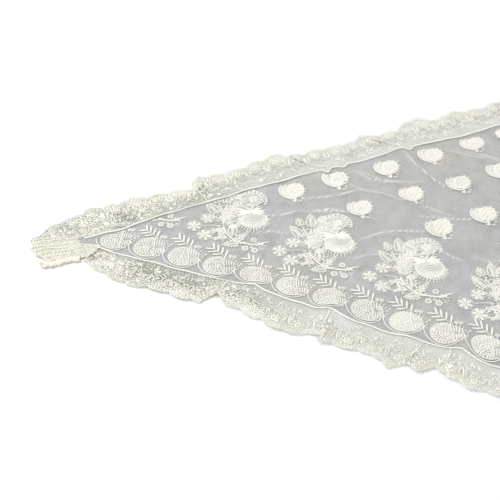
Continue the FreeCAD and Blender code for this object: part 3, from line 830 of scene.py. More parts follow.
# %% [markdown]
# The finishes are built once and given to all pieces of their kind. Bobbin net is a fine honeycomb, far too
# fine to model: three crossed waves draw it, and a limit on their sum makes the threads. The edging's ground
# has larger, uneven holes, which the borders of a Voronoi pattern give. Yarn relief is a fine noise that both
# tints the thread and drives a bump. Each effect is a node group, so that every material can set its own
# scale.

# %% Helpers for node groups
def group(name, inputs, outputs):
    """An empty node group with its named sockets."""
    tree = bpy.data.node_groups.new(name, "ShaderNodeTree")
    for title, kind, value in inputs:
        socket = tree.interface.new_socket(title, in_out="INPUT", socket_type=kind)
        if value is not None:
            socket.default_value = value
    for title, kind in outputs:
        tree.interface.new_socket(title, in_out="OUTPUT", socket_type=kind)
    return tree, tree.nodes.new("NodeGroupInput"), tree.nodes.new("NodeGroupOutput")


def math_node(tree, operation, first, second=None):
    n = tree.nodes.new("ShaderNodeMath")
    n.operation = operation
    for socket, value in zip(n.inputs, (first, second)):
        if isinstance(value, (int, float)):
            socket.default_value = value
        elif value is not None:
            tree.links.new(value, socket)
    return n.outputs[0]


def scaled(tree, vector, divisor):
    """A vector divided by a size, so that a pattern repeats at that size."""
    n = tree.nodes.new("ShaderNodeVectorMath")
    n.operation = "SCALE"
    tree.links.new(vector, n.inputs[0])
    tree.links.new(math_node(tree, "DIVIDE", 1.0, divisor), n.inputs["Scale"])
    return n.outputs[0]


def limit(tree, value, low, high):
    """1 below low and 0 above high."""
    n = tree.nodes.new("ShaderNodeMapRange")
    n.inputs["To Min"].default_value = 1.0
    n.inputs["To Max"].default_value = 0.0
    for title, source in (("Value", value), ("From Min", low), ("From Max", high)):
        if isinstance(source, (int, float)):
            n.inputs[title].default_value = source
        else:
            tree.links.new(source, n.inputs[title])
    return n.outputs[0]


def noise(tree, place, scale, detail):
    """Soft noise over the cloth."""
    n = tree.nodes.new("ShaderNodeTexNoise")
    n.inputs["Scale"].default_value = scale
    n.inputs["Detail"].default_value = detail
    tree.links.new(place, n.inputs["Vector"])
    return n.outputs[0]


print("node groups so far:", len(bpy.data.node_groups))

# %% Bobbin net, open ground and yarn relief
def net_group():
    tree, inside, outside = group("honeycomb net", [("Place", "NodeSocketVector", None),
                                                    ("Pitch", "NodeSocketFloat", 0.002),
                                                    ("Cover", "NodeSocketFloat", -0.5)],
                                  [("Thread", "NodeSocketFloat")])
    place = scaled(tree, inside.outputs["Place"], inside.outputs["Pitch"])
    waves = None
    for turn in (0, 120, 240):
        dot = tree.nodes.new("ShaderNodeVectorMath")
        dot.operation = "DOT_PRODUCT"
        dot.inputs[1].default_value = (2 * math.pi * math.cos(math.radians(turn)),
                                       2 * math.pi * math.sin(math.radians(turn)), 0)
        tree.links.new(place, dot.inputs[0])
        wave = math_node(tree, "COSINE", dot.outputs["Value"])
        waves = wave if waves is None else math_node(tree, "ADD", waves, wave)
    patchy = noise(tree, inside.outputs["Place"], 60.0, 2.0)
    uneven = math_node(tree, "MULTIPLY", math_node(tree, "SUBTRACT", patchy, 0.5), 1.1)
    cover = math_node(tree, "ADD", inside.outputs["Cover"], uneven)
    mask = limit(tree, waves, math_node(tree, "SUBTRACT", cover, 0.25), math_node(tree, "ADD", cover, 0.25))
    tree.links.new(mask, outside.inputs["Thread"])
    return tree


def ground_group():
    tree, inside, outside = group("open ground", [("Place", "NodeSocketVector", None),
                                                  ("Pitch", "NodeSocketFloat", 0.004),
                                                  ("Bar", "NodeSocketFloat", 0.15)],
                                  [("Thread", "NodeSocketFloat")])
    cells = tree.nodes.new("ShaderNodeTexVoronoi")
    cells.voronoi_dimensions = "2D"
    cells.feature = "DISTANCE_TO_EDGE"
    cells.inputs["Scale"].default_value = 1.0
    cells.inputs["Randomness"].default_value = 0.95
    tree.links.new(scaled(tree, inside.outputs["Place"], inside.outputs["Pitch"]), cells.inputs["Vector"])
    bar = inside.outputs["Bar"]
    mask = limit(tree, cells.outputs["Distance"], math_node(tree, "MULTIPLY", bar, 0.7),
                 math_node(tree, "MULTIPLY", bar, 1.3))
    tree.links.new(mask, outside.inputs["Thread"])
    return tree


def yarn_group():
    tree, inside, outside = group("yarn relief", [("Place", "NodeSocketVector", None),
                                                  ("Size", "NodeSocketFloat", 0.0012)],
                                  [("Relief", "NodeSocketFloat"), ("Shade", "NodeSocketFloat")])
    fibres = noise(tree, scaled(tree, inside.outputs["Place"], inside.outputs["Size"]), 1.0, 3.0)
    tree.links.new(fibres, outside.inputs["Relief"])
    tree.links.new(noise(tree, inside.outputs["Place"], 22.0, 3.0), outside.inputs["Shade"])
    return tree


NET_GROUP, GROUND_GROUP, YARN_GROUP = net_group(), ground_group(), yarn_group()
print("node groups:", [g.name for g in bpy.data.node_groups])

# %% [markdown]
# All of this lace is matte cotton, so the materials differ in colour, in how open they are, and in their
# relief. The net's threads are greyer than the motifs, which are worked in a creamier yarn. Where the net is
# pinched in a crease its threads bunch up, so there it is closer and lighter. Attributes painted on the
# points tell the materials where: crease for the net, and close, deep and pale for the edging. Close and
# deep also say where painted shade, the dark of the layers beneath, fills the edging's gaps; the gathered
# lace's gaps are painted dark with shade too. The thin fillings have worn thinnest near the left corner.

# %% Helpers for materials
def new_material(name, rough=0.85):
    """A matte material, with its node tree, its shader and the flat place on the cloth."""
    mat = bpy.data.materials.new(name)
    mat.use_nodes = True
    shader = mat.node_tree.nodes["Principled BSDF"]
    shader.inputs["Roughness"].default_value = rough
    shader.inputs["Specular IOR Level"].default_value = 0.2
    uv = mat.node_tree.nodes.new("ShaderNodeUVMap")
    uv.uv_map = "flat"
    return mat, mat.node_tree, shader, uv.outputs[0]


def use_group(tree, made, place, **values):
    """A node group placed in a material with its own values."""
    n = tree.nodes.new("ShaderNodeGroup")
    n.node_tree = made
    tree.links.new(place, n.inputs["Place"])
    for title, value in values.items():
        n.inputs[title].default_value = value
    return n


def painted(tree, name):
    """The values that a piece carries at its points under this name."""
    n = tree.nodes.new("ShaderNodeAttribute")
    n.attribute_name = name
    return n.outputs["Fac"]


def blend_colours(tree, factor, first, second):
    """The first colour where the factor is 0, and the second where it is 1."""
    n = tree.nodes.new("ShaderNodeMix")
    n.data_type = "RGBA"
    tree.links.new(factor, n.inputs["Factor"])
    for socket, value in ((n.inputs["A"], first), (n.inputs["B"], second)):
        if isinstance(value, tuple):
            socket.default_value = (*value, 1)
        else:
            tree.links.new(value, socket)
    return n.outputs["Result"]


def yarn_finish(tree, shader, place, light, dark, size=0.0012, strength=0.5, depth=0.0004):
    """Thread colour that drifts between two shades, and the relief of its fibres."""
    yarn = use_group(tree, YARN_GROUP, place, Size=size)
    drift = limit(tree, yarn.outputs["Shade"], 0.35, 0.7)
    bump = tree.nodes.new("ShaderNodeBump")
    bump.inputs["Strength"].default_value = strength
    bump.inputs["Distance"].default_value = depth
    tree.links.new(yarn.outputs["Relief"], bump.inputs["Height"])
    tree.links.new(bump.outputs[0], shader.inputs["Normal"])
    return blend_colours(tree, drift, dark, light)


print("each material reads the flat place of its piece, in metres")

# %% The net's finish
WARM_PATCH = (-0.09, -0.06, 0)  # where the net has yellowed most, by the neck seam's middle
GREY_NET, AGED_NET, WARM_NET = (0.345, 0.37, 0.375), (0.395, 0.38, 0.335), (0.40, 0.375, 0.315)
DARK_NET, BUNCHED_NET = (0.285, 0.287, 0.275), (0.86, 0.86, 0.82)


def net_material():
    """Grey net with warmer, aged patches, and bunched threads in the creases."""
    mat, tree, shader, place = new_material("cotton net", 0.9)
    threads = use_group(tree, NET_GROUP, place, Pitch=0.0026, Cover=-0.42)
    crease = painted(tree, "crease")
    aged = limit(tree, noise(tree, place, 5.0, 1.0), 0.38, 0.62)
    tint = blend_colours(tree, aged, GREY_NET, AGED_NET)
    away = tree.nodes.new("ShaderNodeVectorMath")
    away.operation = "DISTANCE"
    tree.links.new(place, away.inputs[0])
    away.inputs[1].default_value = WARM_PATCH
    warm = limit(tree, away.outputs["Value"], 0.02, 0.17)
    tint = blend_colours(tree, warm, tint, WARM_NET)
    colour = yarn_finish(tree, shader, place, tint, DARK_NET)
    colour = blend_colours(tree, crease, colour, BUNCHED_NET)
    tree.links.new(colour, shader.inputs["Base Color"])
    closer = math_node(tree, "MULTIPLY", crease, 0.65)
    tree.links.new(math_node(tree, "MAXIMUM", threads.outputs[0], closer), shader.inputs["Alpha"])
    return mat


NET = net_material()
print("material:", NET.name)

# %% The edging's finish
OPEN_LIGHT, OPEN_DARK = (0.65, 0.65, 0.61), (0.55, 0.55, 0.51)  # its net, where it is open
# Painted shade: the dark of the shaded layers beneath, shown in the gaps where the edging is close.
SHADED_GAP_LIGHT, SHADED_GAP_DARK = (0.25, 0.25, 0.185), (0.05, 0.052, 0.033)  # what shows through where it is close
LAYERED, WORKED = (0.84, 0.835, 0.75), (0.93, 0.925, 0.85)
# Painted shade: the dark colour of the gathered lace's gaps, where the layers beneath lie in shade.
GAP_SHADE_COLOUR = (0.30, 0.29, 0.215)


def edging_material():
    """Open net with a few bars, or close blobs of work with painted shade in their gaps, as the close
    attribute says.
    """
    mat, tree, shader, place = new_material("edging ground", 0.9)
    close, deep, pale = [painted(tree, name) for name in ("close", "deep", "pale")]
    threads = use_group(tree, NET_GROUP, place, Pitch=0.0028, Cover=-0.50)
    bars = use_group(tree, GROUND_GROUP, place, Pitch=0.0058, Bar=0.07)
    gaps = use_group(tree, GROUND_GROUP, place, Pitch=0.0049, Bar=0.16)
    wide_gaps = use_group(tree, GROUND_GROUP, place, Pitch=0.0049, Bar=0.30)
    # Where deep is high the gaps widen, so more painted shade shows.
    shadowed = math_node(tree, "MULTIPLY", wide_gaps.outputs[0], deep)
    blobs = math_node(tree, "SUBTRACT", 1.0, math_node(tree, "MAXIMUM", gaps.outputs[0], shadowed))
    worked = math_node(tree, "MAXIMUM", math_node(tree, "MULTIPLY", bars.outputs[0], 0.5),
                       math_node(tree, "MULTIPLY", blobs, close))
    # Where the edging is close, its ground turns to the painted shade of its gaps.
    light = blend_colours(tree, close, OPEN_LIGHT, SHADED_GAP_LIGHT)
    dark = blend_colours(tree, close, OPEN_DARK, SHADED_GAP_DARK)
    colour = yarn_finish(tree, shader, place, light, dark)
    colour = blend_colours(tree, pale, colour, LAYERED)
    colour = blend_colours(tree, worked, colour, WORKED)
    tree.links.new(colour, shader.inputs["Base Color"])
    solid = math_node(tree, "MULTIPLY", close, 0.75)
    cover = math_node(tree, "MAXIMUM", threads.outputs[0], worked)
    tree.links.new(math_node(tree, "MAXIMUM", cover, solid), shader.inputs["Alpha"])
    return mat


def gathered_material(name, light, dark, gap_shading):
    """Lace in many layers: no longer open, but its pattern's gaps are still painted dark, as the shade
    beneath them.
    """
    mat, tree, shader, place = new_material(name, 0.9)
    gaps = use_group(tree, GROUND_GROUP, place, Pitch=0.0046, Bar=0.14)
    # The pattern's gaps are painted in shade.
    shaded_gaps = math_node(tree, "MULTIPLY", gaps.outputs[0], gap_shading)
    colour = yarn_finish(tree, shader, place, light, dark, 0.0018, 0.7)
    tree.links.new(blend_colours(tree, shaded_gaps, colour, GAP_SHADE_COLOUR), shader.inputs["Base Color"])
    return mat


GROUND = edging_material()
GATHERED = gathered_material("gathered lace", (0.94, 0.92, 0.82), (0.83, 0.80, 0.69), 0.8)
BLUSH = gathered_material("rolled lace", (0.93, 0.88, 0.77), (0.88, 0.79, 0.67), 0.3)
print("materials:", [m.name for m in (GROUND, GATHERED, BLUSH)])

# %% Fillings, yarns and cord
WORN = (-0.62, -0.40)  # x in metres: fully worn left of the first, and not at all right of the second


def fill_material(name, pitch, bar, light, dark, kept=0.0):
    """A thin filling; kept is how much thicker it is away from the left corner, where it has worn less."""
    mat, tree, shader, place = new_material(name, 0.9)
    bars = use_group(tree, GROUND_GROUP, place, Pitch=pitch, Bar=bar)
    if kept:
        split = tree.nodes.new("ShaderNodeSeparateXYZ")
        tree.links.new(place, split.inputs[0])
        worn = limit(tree, split.outputs["X"], *WORN)
        thickness = math_node(tree, "SUBTRACT", bar + kept, math_node(tree, "MULTIPLY", worn, kept))
        tree.links.new(thickness, bars.inputs["Bar"])
    colour = yarn_finish(tree, shader, place, light, dark)
    tree.links.new(colour, shader.inputs["Base Color"])
    tree.links.new(bars.outputs[0], shader.inputs["Alpha"])
    return mat


def thread_material(name, light, dark, size=0.0012, strength=0.6):
    """Closed yarn, with the relief of its fibres."""
    mat, tree, shader, place = new_material(name)
    tree.links.new(yarn_finish(tree, shader, place, light, dark, size, strength), shader.inputs["Base Color"])
    return mat


FILLING = fill_material("motif filling", 0.0026, 0.22, (0.88, 0.88, 0.83), (0.78, 0.78, 0.72), kept=0.07)
THIN_FILLING = fill_material("thin motif filling", 0.0024, 0.14, (0.82, 0.82, 0.755), (0.72, 0.72, 0.66),
                             kept=0.12)
EDGING_FILLING = fill_material("edging filling", 0.0030, 0.13, (0.88, 0.87, 0.79), (0.74, 0.73, 0.64))
YARN = thread_material("worked yarn", (0.885, 0.875, 0.80), (0.83, 0.818, 0.742))
EDGING_YARN = thread_material("edging yarn", (0.925, 0.92, 0.845), (0.84, 0.83, 0.745))
CORD = thread_material("seam cord", (0.92, 0.915, 0.86), (0.86, 0.85, 0.78), 0.0016, 0.8)
print("materials:", [m.name for m in (FILLING, THIN_FILLING, EDGING_FILLING, YARN, EDGING_YARN, CORD)])

# %% [markdown]
# A patch becomes a piece of the shawl in two moves. It is first laid on the shawl: each point goes to its
# place on the table, and rises by the cloth's height there. Then a mesh is made of it, with its flat place
# kept as a UV map in metres, so that threads and fibres follow the cloth into every fold.

# %% Lay a patch on the shawl and make its mesh
RELIEF = 0.32  # how much of a motif's height is left once it is pressed into the net


def lay_on_field(p, right=False):
    """A patch of the field, on its place on the table; the right half mirrors the left."""
    x, y, z = p["co"].T
    x = -x if right else x
    moved_x, moved_y = wander(x, y)
    height = field_height(x, y) + RELIEF * z
    made = {**p, "co": np.stack([moved_x, moved_y, height], 1), "flat": np.stack([x, y], 1)}
    return turned_over(made) if right else made


def lay_on_neck(p):
    """A patch drawn along the neck seam, on its place on the table."""
    q, w, z = p["co"].T
    x, y, height = neck_strip(q, w)
    return {**p, "co": np.stack([x, y, height + z], 1), "flat": np.stack([q, w], 1)}


def lay_on_side(p, right=False):
    """A patch drawn along a side seam, on its place on the table."""
    q, w, z = p["co"].T
    x, y, height = side_strip(q, w, right)
    made = {**p, "co": np.stack([x, y, height + z], 1), "flat": np.stack([q, w], 1)}
    return made if right else turned_over(made)


def make_piece(name, p, materials):
    """A Blender object from a laid patch."""
    data = bpy.data.meshes.new(name)
    data.vertices.add(len(p["co"]))
    data.vertices.foreach_set("co", ((p["co"] + (0, NECK_Y, 0)) * MM).astype(np.float32).ravel())
    data.loops.add(len(p["corners"]))
    data.loops.foreach_set("vertex_index", p["corners"].astype(np.int32))
    data.polygons.add(len(p["sizes"]))
    data.polygons.foreach_set("loop_start", (np.cumsum(p["sizes"]) - p["sizes"]).astype(np.int32))
    data.polygons.foreach_set("material_index", p["slots"].astype(np.int32))
    data.polygons.foreach_set("use_smooth", np.full(len(p["sizes"]), True))
    data.update(calc_edges=True)
    uv = data.uv_layers.new(name="flat")
    uv.data.foreach_set("uv", (p["flat"][p["corners"]] * MM).astype(np.float32).ravel())
    for mat in materials:
        data.materials.append(mat)
    obj = bpy.data.objects.new(name, data)
    bpy.context.collection.objects.link(obj)
    return obj


def triangles_of(obj):
    return sum(len(f.vertices) - 2 for f in obj.data.polygons)


def paint(obj, name, values):
    """Values at the points of a piece, for its material."""
    layer = obj.data.attributes.new(name, "FLOAT", "POINT")
    layer.data.foreach_set("value", np.asarray(values, np.float32))


made_pieces = []


def give(obj, body, *nodes):
    """The piece rides on a half, or, if body is None, stays unparented across the centre line."""
    if body is None:
        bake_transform(obj)
    else:
        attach(obj, body)
    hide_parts(*nodes)
    made_pieces.append(obj)
    print(f"{obj.name}: {triangles_of(obj)} triangles")


print("heights across the middle of the field:", field_height(sample, np.full(200, -200.0))[::50].round(1))

# %% [markdown]
# The ground is one sheet across both halves. A grid is the natural start for cloth: it is added over the
# whole shawl, and two cuts along the side seams and one at each gathered tip leave the triangle. Then every
# point is lifted to the cloth's height, and the pinch of each crease is stored for the material.

# %% The net
GATHER_X, GATHER_DROP = 8.0, 24.0  # where the net ends in the gathered tip, and how wide it is there
SIDE_START, SIDE_END = 40.0, SIDE + SCALLOP
NET_STEP = 4.2


def cut(place, outward):
    """Cuts the mesh in edit mode, and drops what lies outward."""
    bpy.ops.mesh.select_all(action="SELECT")
    bpy.ops.mesh.bisect(plane_co=place, plane_no=outward, clear_outer=True)


def net_patch():
    """The flat triangle of net, narrowed at both tips."""
    wide, deep = int(2 * HALF / NET_STEP), int(HALF / NET_STEP)
    bpy.ops.object.select_all(action="DESELECT")
    bpy.ops.mesh.primitive_grid_add(x_subdivisions=wide, y_subdivisions=deep, size=1,
                                    location=(0, -HALF / 2, 0))
    obj = bpy.context.object
    obj.scale = (2 * HALF, HALF, 1)
    bpy.ops.object.transform_apply(location=True, rotation=True, scale=True)
    bpy.ops.object.mode_set(mode="EDIT")
    for side in (-1, 1):
        cut((side * HALF, 0, 0), (side, -1, 0))
        cut((side * (HALF - GATHER_X), 0, 0), (side, 0, 0))
    bpy.ops.object.mode_set(mode="OBJECT")
    flat = take(obj)
    inward = HALF - np.abs(flat["co"][:, 0])
    drop = np.interp(inward, [GATHER_X, SIDE_START * ROOT_HALF], [GATHER_DROP, SIDE_START * ROOT_HALF])
    flat["co"][:, 1] *= np.where(inward < SIDE_START * ROOT_HALF, drop / inward, 1)
    return flat


def make_net():
    flat = net_patch()
    laid = lay_on_field(flat)
    obj = make_piece("net_ground", laid, [NET])
    paint(obj, "crease", folds(*laid["flat"].T)[1])
    give(obj, None, "net_left", "net_right")


make_net()

# %% [markdown]
# A strip of edging is a long grid too. Its columns run along the seam, and its outer row follows the
# scallops. The neck edging is one strip from tip to tip. The side edging turns round the back point, where it
# fans out, so its two halves are joined there.

# %% Edging strips
ROWS = 14
STRIP_STEP = 2.6
SIDE_CUSP = SIDE - SCALLOP * int(SIDE / SCALLOP)  # the first cusp of a side edging
NECK_CORNER = 900.0  # the neck edging's sharp corners, along its seam from the centre line


def grid_patch(columns, rows):
    """A flat grid over a square with sides of 1."""
    bpy.ops.object.select_all(action="DESELECT")
    bpy.ops.mesh.primitive_grid_add(x_subdivisions=columns, y_subdivisions=rows, size=1,
                                    location=(0.5, 0.5, 0))
    obj = bpy.context.object
    bpy.ops.object.transform_apply(location=True, rotation=True, scale=True)
    return take(obj)


def strip_patch(start, end, first_cusp):
    """A strip laid out flat, along its seam and out from it."""
    flat = grid_patch(int((end - start) / STRIP_STEP), ROWS)
    q = start + (end - start) * flat["co"][:, 0]
    w = flat["co"][:, 1] * scallop_reach(q, first_cusp)
    return {**flat, "co": np.stack([q, w, np.zeros(len(q))], 1)}


print("a side edging's first cusp is", round(SIDE_CUSP, 1), "mm from its sharp corner")

# %% How close, deep and pale the edging is
def near(from_tip, full, fade):
    """1 as far as full from a sharp corner, and less beyond it."""
    return np.exp(-(np.maximum(from_tip - full, 0) / fade) ** 2)


def closeness(q, w, from_tip, full, fade):
    """How densely an edging is worked, and so how much painted shade shows in its gaps: most near the sharp
    corners and along its free edge.
    """
    near_tip = near(from_tip, full, fade)
    outer = np.clip((w - 22) / 16, 0, 1)
    patches = 0.5 + 0.5 * np.sin(q / 13 + np.sin(w / 9)) * np.sin(q / 31 + w / 14)
    return np.clip(0.12 + 0.75 * near_tip + 0.55 * outer * (0.5 + 0.5 * patches) - 0.25 * (1 - patches), 0, 1)


def gap_shade_depth(q, w, from_tip):
    """Patches where the gaps are wider and hold more painted shade, by the seam and in the edging's folds."""
    near_tip, at_tip = near(from_tip, 330, 120), near(from_tip, 110, 60)
    weave = np.sin(q / 24 + 1.3 * np.sin(q / 61)) * np.cos((w - 20) / 22)
    patches = np.clip(0.35 + 0.3 * at_tip + weave, 0, 1)
    return np.clip(near_tip * patches * np.clip((50 + 8 * at_tip - w) / 20, 0, 1), 0, 1)


def paleness(q, w, from_tip, layered):
    """Where the lace lies in several layers: along its free edge, and over the gathered tip."""
    rim = np.clip((w - 34) / 18, 0, 1) * (0.75 + 0.15 * np.sin(q / 17)) * (1 - 0.65 * near(from_tip, 150, 90))
    tip = layered * near(from_tip, 0, 110) * np.clip((54 - w) / 30, 0, 1)
    return np.clip(np.maximum(rim, tip), 0, 1)


print("the neck edging is closest at", NECK_CORNER, "mm from the centre line")

# %% Make both edgings
def weld(obj, distance=0.0002):
    """Joins the points of a piece that lie together, where its halves meet."""
    bpy.ops.object.select_all(action="DESELECT")
    bpy.context.view_layer.objects.active = obj
    obj.select_set(True)
    bpy.ops.object.mode_set(mode="EDIT")
    bpy.ops.mesh.select_all(action="SELECT")
    bpy.ops.mesh.remove_doubles(threshold=distance)
    bpy.ops.object.mode_set(mode="OBJECT")


def laid_pair(left, right):
    """Two laid patches as one."""
    both = joined([left, right])
    return {**both, "flat": np.concatenate([left["flat"], right["flat"]])}


def paint_edging(obj, q, w, from_tip, full, fade, layered):
    """All that the edging's material reads."""
    paint(obj, "close", closeness(q, w, from_tip, full, fade))
    # deep says where the gaps widen and hold more painted shade.
    paint(obj, "deep", gap_shade_depth(q, w, from_tip))
    paint(obj, "pale", paleness(q, w, from_tip, layered))


def make_neck_edging():
    laid = lay_on_neck(strip_patch(-END_Q, END_Q, 0.0))
    obj = make_piece("neck_edging_lace", laid, [GROUND])
    q, w = laid["flat"].T
    paint_edging(obj, q, w, NECK_CORNER - np.abs(q), full=170, fade=250, layered=0.5)
    give(obj, None, "neck_edging_left", "neck_edging_right")


def make_side_edging():
    flat = strip_patch(SIDE_START, SIDE_END, SIDE_CUSP)
    both = laid_pair(lay_on_side(flat), lay_on_side(flat, right=True))
    obj = make_piece("side_edging_lace", both, [GROUND])
    q, w = both["flat"].T
    paint_edging(obj, q, w, q, full=270, fade=110, layered=0.0)
    weld(obj)
    give(obj, None, "side_edging_left", "side_edging_right")


make_neck_edging()
make_side_edging()

# %% [markdown]
# The edging's own pattern repeats with its scallops: a round flower near the edge, a wavy vine with leaflets
# further in, leaf pairs between the flowers, and knots scattered close together. The scallop's outline is a
# corded edge with small loops. One repeat is drawn, and each copy gets its own small differences.

# %% The pattern of one scallop
NECK_MIDDLES = (-SCALLOP * 21.5, SCALLOP * 21.5)  # of the first and last scallops
SIDE_MIDDLES = (SIDE_CUSP + 1.5 * SCALLOP, SIDE_END - SCALLOP / 2)


def edging_flower(radius):
    """The round flower of a scallop."""
    parts = crown(PETAL, 9, 0.50 * radius, 0.50 * radius, 0.40 * radius)
    parts += [put(RING, (0, 0), 0, (0.95 * radius,) * 2, 0.9, 0.4), put(DOT, (0, 0), 0, (3.4, 3.4), 0.9, 0.5)]
    parts += beads(bow((0, 0), 0.76 * radius, 0, 330, 9), 2.6, 0.7)
    return joined(parts)


def scallop_flowers(middle, _):
    """The flower of one scallop, and the striped leaves at its cusp."""
    radius = 11.0 * vary(0.08)
    parts = [put(edging_flower(radius), (middle + 2 * hand.uniform(-1, 1), 43 + hand.uniform(-1, 1)))]
    cusp = middle + SCALLOP / 2
    for side in (-1, 1):
        parts.append(bar((cusp + side, 27), (cusp + side * 5, 45), 3.4))
        for k in range(3):
            parts.append(bar((cusp + side * 3, 29 + 4 * k), (cusp + side * 10, 32 + 4 * k), 2.2))
    return parts


def scallop_ground(middle, close):
    """The small sprays and scattered knots of one scallop; a close ground has many more."""
    parts = []
    for _ in range(2 + int(3 * close)):
        x, y = middle + SCALLOP * hand.uniform(-0.5, 0.5), hand.uniform(8, 24)
        turn = hand.uniform(0, 360)
        for k in range(3):
            parts.append(put(SOLID_PETAL, (x, y), turn + 50 * k, (3.0, 5.5 * vary()), 0.9))
    for _ in range(5 + int(30 * close)):
        at = (middle + SCALLOP * hand.uniform(-0.5, 0.5), hand.uniform(3, 50))
        size = hand.uniform(2.0, 3.8)
        parts.append(put(DOT, at, hand.uniform(0, 60), (size, size * hand.uniform(0.6, 1)), 0.9))
    for _ in range(2 + int(9 * close)):
        at = (middle + SCALLOP * hand.uniform(-0.5, 0.5), hand.uniform(6, 36))
        parts.append(put(RING, at, 0, (hand.uniform(4.5, 6.5),) * 2, 0.8))
    if close < 0.5:
        for side in (-1, 1):
            parts.append(bar((middle + 3 * side, 13), (middle + 3 * side, 19), 3.0))
    q = np.linspace(-0.5, 0.5, 9) * SCALLOP
    vine = np.stack([middle + q, 27 + 3.0 * np.sin(2 * np.pi * q / SCALLOP + 1)], 1)
    parts.append(strand(vine, 1.3, 0.7))
    for k in range(5):
        parts.append(bar(vine[k + 1], vine[k + 1] + (3.5, -4 if k % 2 else 4), 2.2))
    return parts


def scallop_edge(middle, _):
    """The thin outline of one scallop, with its loops."""
    q = middle + np.linspace(-0.5, 0.5, 13) * SCALLOP
    rim = scallop_reach(q, middle - SCALLOP / 2)
    parts = [strand(np.stack([q, rim - 1.2], 1), 1.2, 0.8)]
    parts += [strand(np.stack([q, rim - 5.0 + 0.6 * np.sin(q)], 1), 1.0, 0.7)]
    for k in range(12):
        parts.append(put(RING, (q[k] + 1.6, rim[k] + 0.1), 0, (3.2 * vary(0.3), 2.9 * vary(0.3)), 0.8))
    parts += beads(np.stack([q[1:] - 1.6, rim[1:] - 3.2], 1), 2.0)
    return parts


print("middles of the neck side's first and last scallops:", NECK_MIDDLES)

# %% Edging motifs and edge cords
def middles(first, last):
    """The middles of the scallops from the first to the last."""
    return [first + SCALLOP * k for k in range(int(round((last - first) / SCALLOP)) + 1)]


def on_strip(parts_of, places, lay, tip=0, reach=1):
    """The motifs of many scallops; the work is close as far as reach from the sharp corner at tip."""
    parts = []
    for middle in places:
        close = math.exp(-(max(0, abs(middle - tip) - 60) / reach) ** 2)
        parts += parts_of(middle, close)
    return lay(joined(parts))


FOLD_LENGTH = 50


def fold_lines(tucks, lay):
    """A soft bright line along the folded edge of each tuck."""
    parts = []
    w = np.linspace(0, FOLD_LENGTH, 15)
    for place, lean, _ in tucks:
        q = place + lean * w / EDGE + TUCK_BACK / 3 + 0.6 + 1.0 * np.sin(w / 9)
        parts.append(strand(np.stack([q, w], 1), 1.7, 0.8, lift=0.2))
    return lay(joined(parts))


def lay_on_right_side(p):
    return lay_on_side(p, right=True)


LAY_ON_SIDES = {"left": lay_on_side, "right": lay_on_right_side}


def make_worked(piece, name, laid, *nodes):
    obj = make_piece(f"{piece}_{name}", laid, [EDGING_YARN, EDGING_FILLING])
    give(obj, f"{name}_half", *(f"{node}_{name}" for node in nodes))


def make_edging_motifs():
    """The neck side's motifs, then each side edging's."""
    for name, sign in (("left", -1), ("right", 1)):
        strip = ([m for m in middles(*NECK_MIDDLES) if m * sign > 0], lay_on_neck, sign * NECK_CORNER, 230)
        make_worked("neck_lace_flowers", name, on_strip(scallop_flowers, *strip), "neck_edging_flowers")
        make_worked("neck_lace_sprays", name, on_strip(scallop_ground, *strip))
    for name, lay in LAY_ON_SIDES.items():
        strip = (middles(*SIDE_MIDDLES), lay, 0.0, 150)
        make_worked("side_lace_flowers", name, on_strip(scallop_flowers, *strip), "side_edging_flowers")
        make_worked("side_lace_sprays", name, on_strip(scallop_ground, *strip))


def edge_cord(places, lay, tucks):
    return laid_pair(on_strip(scallop_edge, places, lay), fold_lines(tucks, lay))


def make_edge_cords():
    neck = edge_cord(middles(*NECK_MIDDLES), lay_on_neck, NECK_TUCKS)
    give(make_piece("neck_scallop_cord", neck, [EDGING_YARN]), None,
         "neck_edge_cord_left", "neck_edge_cord_right")
    left = edge_cord(middles(*SIDE_MIDDLES), lay_on_side, SIDE_TUCKS)
    right = edge_cord(middles(*SIDE_MIDDLES), lay_on_right_side, RIGHT_SIDE_TUCKS)
    give(make_piece("side_scallop_cord", laid_pair(left, right), [EDGING_YARN]), None,
         "side_edge_cord_left", "side_edge_cord_right")


make_edging_motifs()
make_edge_cords()

# %% [markdown]
# The cords over the seams are the brightest lines of the shawl. Each is a plain round cord, laid along its
# seam. The half rings of the border are the same cord, but thinner, hung from cusp to cusp.

# %% Seam cords and garland
def seam_points(start, end, step=4.0):
    """A course along a seam that isn't sewn quite straight."""
    q = np.linspace(start, end, int((end - start) / step) + 1)
    return np.stack([q, 1.2 * np.sin(q / 11) * np.sin(q / 37)], 1)


def make_seam_cords():
    neck = strand(seam_points(-HALF + 14, HALF - 14), 3.1, 1.8, sides=7, lift=0.2)
    give(make_piece("neck_cord", lay_on_neck(neck), [CORD]), None,
         "neck_seam_cord_left", "neck_seam_cord_right")
    side = strand(seam_points(46.0, SIDE), 3.1, 1.8, sides=7, lift=0.2)
    give(make_piece("side_cord", laid_pair(lay_on_side(side), lay_on_side(side, True)), [CORD]), None,
         "side_seam_cord_left", "side_seam_cord_right")


def in_side_frame(p, along, inset, turn=0.0):
    """A motif in its own frame, put at a place on the left side of the field."""
    x, y = from_side(along, -inset)
    return put(p, (float(x), float(y)), turn - 45)


BASKETS = [FIRST_CUSP + BASKET_PITCH * k + BASKET_PITCH / 2 for k in range(17)]  # along the side seam


def clipped(p, limit_y=-4.0):
    """The patch without the faces that reach past the neck seam or the centre line."""
    keep_point = (p["co"][:, 1] < limit_y) & (p["co"][:, 0] < -1.0)
    starts = np.cumsum(p["sizes"]) - p["sizes"]
    kept = np.logical_and.reduceat(keep_point[p["corners"]], starts)
    corners = p["corners"][np.repeat(kept, p["sizes"])]
    used, renamed = np.unique(corners, return_inverse=True)
    return {"co": p["co"][used], "corners": renamed, "sizes": p["sizes"][kept], "slots": p["slots"][kept]}


